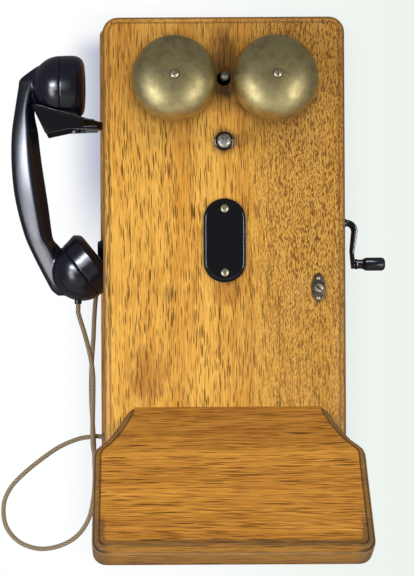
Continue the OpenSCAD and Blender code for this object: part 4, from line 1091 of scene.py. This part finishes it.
def newGeometryTree(name, sizes):
    tree = bpy.data.node_groups.new(name, "GeometryNodeTree")
    newSocket = tree.interface.new_socket
    newSocket("Geometry", in_out="INPUT", socket_type="NodeSocketGeometry")
    for label, value in sizes.items():
        newSocket(label, in_out="INPUT", socket_type="NodeSocketFloat").default_value = value
    newSocket("Material", in_out="INPUT", socket_type="NodeSocketMaterial")
    newSocket("Geometry", in_out="OUTPUT", socket_type="NodeSocketGeometry")
    return tree, tree.nodes.new("NodeGroupInput").outputs, tree.nodes.new("NodeGroupOutput").inputs


# Runs a tree on an object and leaves it a plain mesh
def grown(obj, tree, values):
    modifier = obj.modifiers.new(tree.name, "NODES")
    modifier.node_group = tree
    for socket in tree.interface.items_tree:
        if socket.in_out == "INPUT" and socket.name in values:
            modifier[socket.identifier] = values[socket.name]
    return bake(obj)


def moved(geometry, **change):
    inputs = {"Geometry": geometry, **change}
    return addNode(geometry.id_data, "GeometryNodeTransform", inputs).outputs[0]


def block(tree, size, height):
    cube = addNode(tree, "GeometryNodeMeshCube", {"Size": size})
    return moved(cube.outputs["Mesh"], Translation=vectorOf(tree, z=height))


# Ends a tree with plain geometry and its material
def dressed(tree, geometry, start, end):
    real = addNode(tree, "GeometryNodeRealizeInstances", {"Geometry": geometry}).outputs[0]
    inputs = {"Geometry": real, "Material": start["Material"]}
    tree.links.new(addNode(tree, "GeometryNodeSetMaterial", inputs).outputs[0], end["Geometry"])


# Slotted oval heads on shanks, one at each point, turned by the point's own angle
def makeScrewTree():
    tree, start, end = newGeometryTree(
        "slottedScrews",
        {
            "Head Radius": 0.004,
            "Head Height": 0.002,
            "Slot Width": 0.0009,
            "Slot Depth": 0.001,
            "Shank Radius": 0.0016,
            "Shank Length": 0.012,
        },
    )
    radius, height, shankLength = start["Head Radius"], start["Head Height"], start["Shank Length"]
    ball = addNode(tree, "GeometryNodeMeshUVSphere", {"Segments": 40, "Rings": 24, "Radius": 1.0})
    dome = moved(ball.outputs["Mesh"], Scale=vectorOf(tree, radius, radius, height))
    wide = times(radius, 4.0)
    under = block(tree, vectorOf(tree, wide, wide, wide), times(radius, -2.0))
    blade = vectorOf(tree, wide, start["Slot Width"], times(start["Slot Depth"], 2.0))
    slot = block(tree, blade, height)
    head = addNode(tree, "GeometryNodeMeshBoolean", operation="DIFFERENCE", solver="EXACT")
    tree.links.new(dome, head.inputs[0])
    tree.links.new(under, head.inputs[1])
    tree.links.new(slot, head.inputs[1])
    rod = addNode(
        tree,
        "GeometryNodeMeshCylinder",
        {"Vertices": 16, "Radius": start["Shank Radius"], "Depth": shankLength},
    )
    down = vectorOf(tree, z=times(shankLength, -0.5))
    shank = moved(rod.outputs["Mesh"], Translation=down)
    screw = tree.nodes.new("GeometryNodeJoinGeometry")
    tree.links.new(head.outputs[0], screw.inputs[0])
    tree.links.new(shank, screw.inputs[0])
    angle = addNode(tree, "GeometryNodeInputNamedAttribute", {"Name": "turn"}, data_type="FLOAT")
    turn = vectorOf(tree, z=angle.outputs[0])
    inputs = {"Points": start["Geometry"], "Instance": screw.outputs[0], "Rotation": turn}
    dressed(tree, addNode(tree, "GeometryNodeInstanceOnPoints", inputs).outputs[0], start, end)
    return tree


# One wire wound side by side round a core along Z
def makeWindingTree():
    sizes = {"Core Radius": 0.0095, "Wire": 0.0006, "Length": 0.036}
    tree, start, end = newGeometryTree("winding", sizes)
    thick = times(start["Wire"], 0.5)
    radius = plus(start["Core Radius"], thick)
    length = minus(start["Length"], start["Wire"])
    turns = calc("DIVIDE", length, start["Wire"])
    helix = addNode(
        tree,
        "GeometryNodeCurveSpiral",
        {
            "Resolution": 36,
            "Rotations": turns,
            "Start Radius": radius,
            "End Radius": radius,
            "Height": length,
        },
    )
    section = addNode(tree, "GeometryNodeCurvePrimitiveCircle", {"Resolution": 6, "Radius": thick})
    inputs = {"Curve": helix.outputs[0], "Profile Curve": section.outputs[0], "Fill Caps": True}
    dressed(tree, addNode(tree, "GeometryNodeCurveToMesh", inputs).outputs[0], start, end)
    return tree


screwTree = makeScrewTree()
windingTree = makeWindingTree()
screwSets = {  # millimetres; "turn" is each slot's angle in degrees
    "gong_screws": {"head": 4.2, "height": 2.2, "shank": 1.6, "length": 13, "turn": (25, 100)},
    "plate_screws": {"head": 3.9, "height": 1.8, "shank": 1.6, "length": 14, "turn": (75, 20)},
    "lock_plate_screws": {"head": 1.9, "height": 1, "shank": 1, "length": 10, "turn": (60, 60)},
}
slotShares = {"width": 0.22, "depth": 0.5}  # of the head's radius and height


# Two screws, at the lower left and the upper right of their node
def makeScrews(node, s):
    low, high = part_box(node)
    head = s["head"] * mm
    ends = [(low.x + head, low.z + head), (high.x - head, high.z - head)]
    points = newMesh(node, [(x, z, 0) for x, z in ends], [])
    turn = points.attributes.new("turn", "FLOAT", "POINT")
    turn.data.foreach_set("value", [math.radians(a) for a in s["turn"]])
    obj = grown(
        linkMesh(node + "Visual", points),
        screwTree,
        {
            "Head Radius": head,
            "Head Height": s["height"] * mm,
            "Slot Width": head * slotShares["width"],
            "Slot Depth": s["height"] * mm * slotShares["depth"],
            "Shank Radius": s["shank"] * mm,
            "Shank Length": s["length"] * mm,
            "Material": ownFinishes[node],
        },
    )
    obj.data.transform(facing(0, low.y + s["height"] * mm, 0, (0, -1, 0)))
    place(obj, node, angle=40)


# A wire wound on a coil whose bare core is the frame's own solid
def makeWinding(name, node, placement, core, length, wire):
    values = {"Core Radius": core, "Wire": wire, "Length": length, "Material": materials["silk_wire"]}
    obj = grown(linkMesh(name, newMesh(name, [(0, 0, 0)], [])), windingTree, values)
    obj.data.transform(placement)
    shadeByAngle(obj.data, 60)
    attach(obj, cadNodes[node]["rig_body"])


ringer = {"wound": 0.0015, "foot": 0.002, "length": 0.036, "wire": 0.0006}
spool = {"core": 0.012, "cheek": 0.005, "wire": 0.0009}


def makeRingerWindings(s):
    low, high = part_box("ringer_coils")
    radius, middle = (high.z - low.z) / 2, (high.z + low.z) / 2
    for name, x in (("ringerWindingLeft", low.x + radius), ("ringerWindingRight", high.x - radius)):
        where = facing(x, high.y - s["foot"], middle, (0, -1, 0))
        makeWinding(name, "ringer_coils", where, radius - s["wound"], s["length"], s["wire"])


def makeInductionWinding(s):
    low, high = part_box("induction_coil")
    middle = (low + high) / 2
    where = facing(low.x + s["cheek"], middle.y, middle.z, (1, 0, 0))
    length = high.x - low.x - 2 * s["cheek"]
    makeWinding("inductionWinding", "induction_coil", where, s["core"], length, s["wire"])


for node, settings in screwSets.items():
    makeScrews(node, settings)
makeRingerWindings(ringer)
makeInductionWinding(spool)
print("screws and windings: done")

# Plate and hook

plate = {
    "profile": [
        (0, 0), (0, 2.1), (0.3, 2.4), (2.1, 2.4), (2.3, 3), (3.6, 3.5), (4.6, 3.6), (6, 3.6),
    ],  # inwards from the edge, and out from the door, in millimetres
    "turn": 32,
    "soft": (0.0003, 3),
}


# A plate with round ends and a raised panel
def makePlate(s):
    low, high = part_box("blanking_plate")
    radius, reach = (high.x - low.x) / 2, (high.z - low.z) / 2
    angles = np.linspace(0, np.pi, s["turn"])
    ends = [(np.cos(a), np.sin(a), 1) for a in angles] + [(-np.cos(a), -np.sin(a), -1) for a in angles]
    profile = softened([(d * mm, h * mm) for d, h in s["profile"]], *s["soft"])
    vertices = [
        ((radius - d) * c, (radius - d) * t + side * (reach - radius), h)
        for d, h in profile
        for c, t, side in ends
    ]
    mesh = newMesh("plate", vertices, loftFaces(len(profile), len(ends)))
    mesh.transform(facing(0, doorFront, (low.z + high.z) / 2, (0, -1, 0)))
    place(linkMesh("plateVisual", mesh), "blanking_plate", angle=50)


makePlate(plate)

hook = {
    "bevel": 0.0012,
    "lip": 0.0009,
    "frontY": -0.086,
    "outer": [
        (-175.2, 170.6), (-174.6, 168.8), (-163.6, 146.6), (-161.4, 145.5), (-143.4, 149.3),
        (-116, 150.3),
    ],
    "seat": [
        (-175.2, 170.6), (-168, 169.8), (-160, 167.2), (-150, 164.2), (-134, 158.6), (-118, 156.2),
    ],
}  # the lips' middles seen from the front, in millimetres


def makeHook(s):
    obj = bevelled(cadCopy("hook_lever"), s["bevel"])
    meshes = [obj.data]
    for line in (s["outer"], s["seat"]):
        for y in (s["frontY"] + s["lip"], 2 * handset["middleY"] - s["frontY"] - s["lip"]):
            path = curveThrough([(x * mm, y, z * mm) for x, z in line], 6)
            meshes.append(tube("lip", path, s["lip"], 12))
    bpy.data.objects.remove(obj)
    place(joined("hookVisual", meshes), "hook_lever")


makeHook(hook)
print("plate and hook: done")

# Everything else, from the frame's own meshes

shown = {name for obj in bpy.data.objects for name in obj.get("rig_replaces", [])}
rest = [node for node in cadNodes if node not in shown]
polished(*rest)
print("rest:", len(rest), "pieces")

# Stage and lights

stage = {
    "reach": 1.5,
    "front": -1.6,
    "wall": 0.004,
    "floor": -0.62,
    "top": 1.2,
    "outline": {"Half": (0.109, 0, 0.242), "Corner": 0.012},  # the case's
    "spread": (-0.05, 0.0),  # the shadow's reach round it
    "left": (0.05, -0.1),  # deeper to the left of it
    "beside": ((0.02, 0.13), (0.26, 0.235)),
    "across": (-0.12, 0.24),
    # painted light: the wall turns a little darker and greener to the right
    "paint": (tone(254, 255, 255), tone(236, 243, 236)),  # from left to right
    "shadow": tone(178, 184, 202),
    "least": 0.25,
}


# White wall that glows, with a painted soft shadow round the case and painted light that dims a little
# to the right, not seen from behind
def makeWallPaint(s):
    paint = bpy.data.materials.new("wallPaint")
    tree, surface = emptied(paint, "ShaderNodeOutputMaterial")
    where = tree.nodes.new("ShaderNodeTexCoord").outputs["Object"]
    along = partsOf(where)
    inset = useGroup(boardEdge, where, s["outline"])["Inset"]
    beside = band(along["Z"], *s["beside"])
    amount = plus(times(ramp(along["X"], *s["left"]), beside, 1 - s["least"]), s["least"])
    base = mixColour(ramp(along["X"], *s["across"]), *s["paint"])
    # painted shadow round the case
    shadow = times(ramp(inset, *s["spread"]), amount)
    colour = mixColour(shadow, base, s["shadow"])
    glow = addNode(tree, "ShaderNodeEmission", {"Color": colour, "Strength": 1.0})
    clear = tree.nodes.new("ShaderNodeBsdfTransparent")
    behind = tree.nodes.new("ShaderNodeNewGeometry").outputs["Backfacing"]
    both = addNode(tree, "ShaderNodeMixShader", {0: behind, 1: glow.outputs[0], 2: clear.outputs[0]})
    tree.links.new(both.outputs[0], surface)
    return paint


def makeSheet(name, near, far, reach, paint):
    corners = [(-reach, *near), (reach, *near), (reach, *far), (-reach, *far)]
    sheet = linkMesh(name, newMesh(name, corners, [(0, 1, 2, 3)]))
    sheet.data.materials.append(paint)
    return sheet


def makeStage(s):
    front, low, high = (s["front"], s["floor"]), (s["wall"], s["floor"]), (s["wall"], s["top"])
    floorPaint = metalFinish("floorPaint", tone(226, 224, 220), 0.8, 0.0, mottle=0.02)
    makeSheet("floor", front, low, s["reach"], floorPaint)
    wall = makeSheet("wall", low, high, s["reach"], makeWallPaint(s))
    for ray in ("diffuse", "glossy", "transmission", "shadow"):
        setattr(wall, "visible_" + ray, False)


# White to the eye, dimmer as light and in reflections
def makeWorld(diffuse, glossy):
    scene.world = bpy.data.worlds.new("world")
    tree, surface = emptied(scene.world, "ShaderNodeOutputWorld")
    rays = tree.nodes.new("ShaderNodeLightPath").outputs
    inputs = {"Value": rays["Is Glossy Ray"], "To Min": diffuse, "To Max": glossy}
    unseen = addNode(tree, "ShaderNodeMapRange", inputs).outputs[0]
    seen = calc("ADD", rays["Is Camera Ray"], rays["Is Transmission Ray"], clamp=True)
    inputs = {"Value": seen, "To Min": unseen, "To Max": 1.0}
    strength = addNode(tree, "ShaderNodeMapRange", inputs).outputs[0]
    sky = addNode(tree, "ShaderNodeBackground", {"Color": (1, 1, 1, 1), "Strength": strength})
    tree.links.new(sky.outputs[0], surface)


warm, cool, neutral = (1, 0.97, 0.93), (0.84, 0.88, 1), (1, 0.98, 0.96)
caseMiddle, doorMiddle, handsetMiddle = (0, -0.1, 0.05), (0, -0.15, 0.05), (-0.17, -0.08, 0.1)
areaLights = {  # place, aimed at, width, height, watts, colour
    "lowerLeft": ((-0.86, -1.0, -0.3), doorMiddle, 0.35, 0.55, 6, (0.95, 0.96, 1)),
    "lowerRight": ((0.74, -1.0, -0.2), doorMiddle, 0.3, 0.5, 3.2, warm),
    "top": ((0.1, -0.9, 1.1), (0, -0.1, 0), 0.8, 0.8, 6.5, neutral),
    "stripLeft": ((-1.1, -0.24, 0.05), caseMiddle, 0.2, 0.8, 24, cool),
    "stripRight": ((1.1, -0.24, 0.05), caseMiddle, 0.2, 0.8, 24, cool),
    "stripAbove": ((0, -0.85, 0.95), caseMiddle, 0.9, 0.3, 16, cool),
    "window": ((-0.64, -0.92, 0.22), handsetMiddle, 0.3, 0.12, 7, cool),
    "glow": ((-0.6, -0.94, 0.16), handsetMiddle, 0.5, 0.5, 6, cool),
}
enamel = ("blanking_plate", "hook_lever", "crank_arm", "crank_grip", "button_bezel")


def makeLight(name, where, target, width, height, watts, colour):
    data = bpy.data.lights.new(name, "AREA")
    data.shape = "RECTANGLE"
    data.size = width
    data.size_y = height
    data.energy = watts
    data.color = colour
    light = bpy.data.objects.new(name, data)
    scene.collection.objects.link(light)
    light.location = where
    light.rotation_euler = (Vector(target) - Vector(where)).to_track_quat("-Z", "Y").to_euler()
    return light


# Keeps lights to the pieces that stand for some nodes or ride on a body, or off them
def aim(names, nodes=(), body=None, state="INCLUDE"):
    group = bpy.data.collections.new("lit")
    for obj in bpy.data.objects:
        replaced = obj.get("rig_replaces", [])
        if replaced and (obj.get("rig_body") == body or any(node in replaced for node in nodes)):
            group.objects.link(obj)
    for member in group.collection_objects:
        member.light_linking.link_state = state
    for name in names:
        lights[name].light_linking.receiver_collection = group


makeStage(stage)
makeWorld(diffuse=0.4, glossy=0.2)
lights = {name: makeLight(name, *settings) for name, settings in areaLights.items()}
lights["top"].visible_glossy = False
for name in ("stripLeft", "stripRight", "stripAbove", "window", "glow"):
    lights[name].visible_diffuse = False  # seen only in reflections
aim(["stripLeft", "stripRight"], enamel)
aim(["stripAbove"], ("hook_lever", "crank_arm", "crank_grip"))
aim(["window", "glow"], body="handset")
aim(["lowerLeft", "lowerRight"], ["blanking_plate"], state="EXCLUDE")
print("stage and lights:", len(lights))
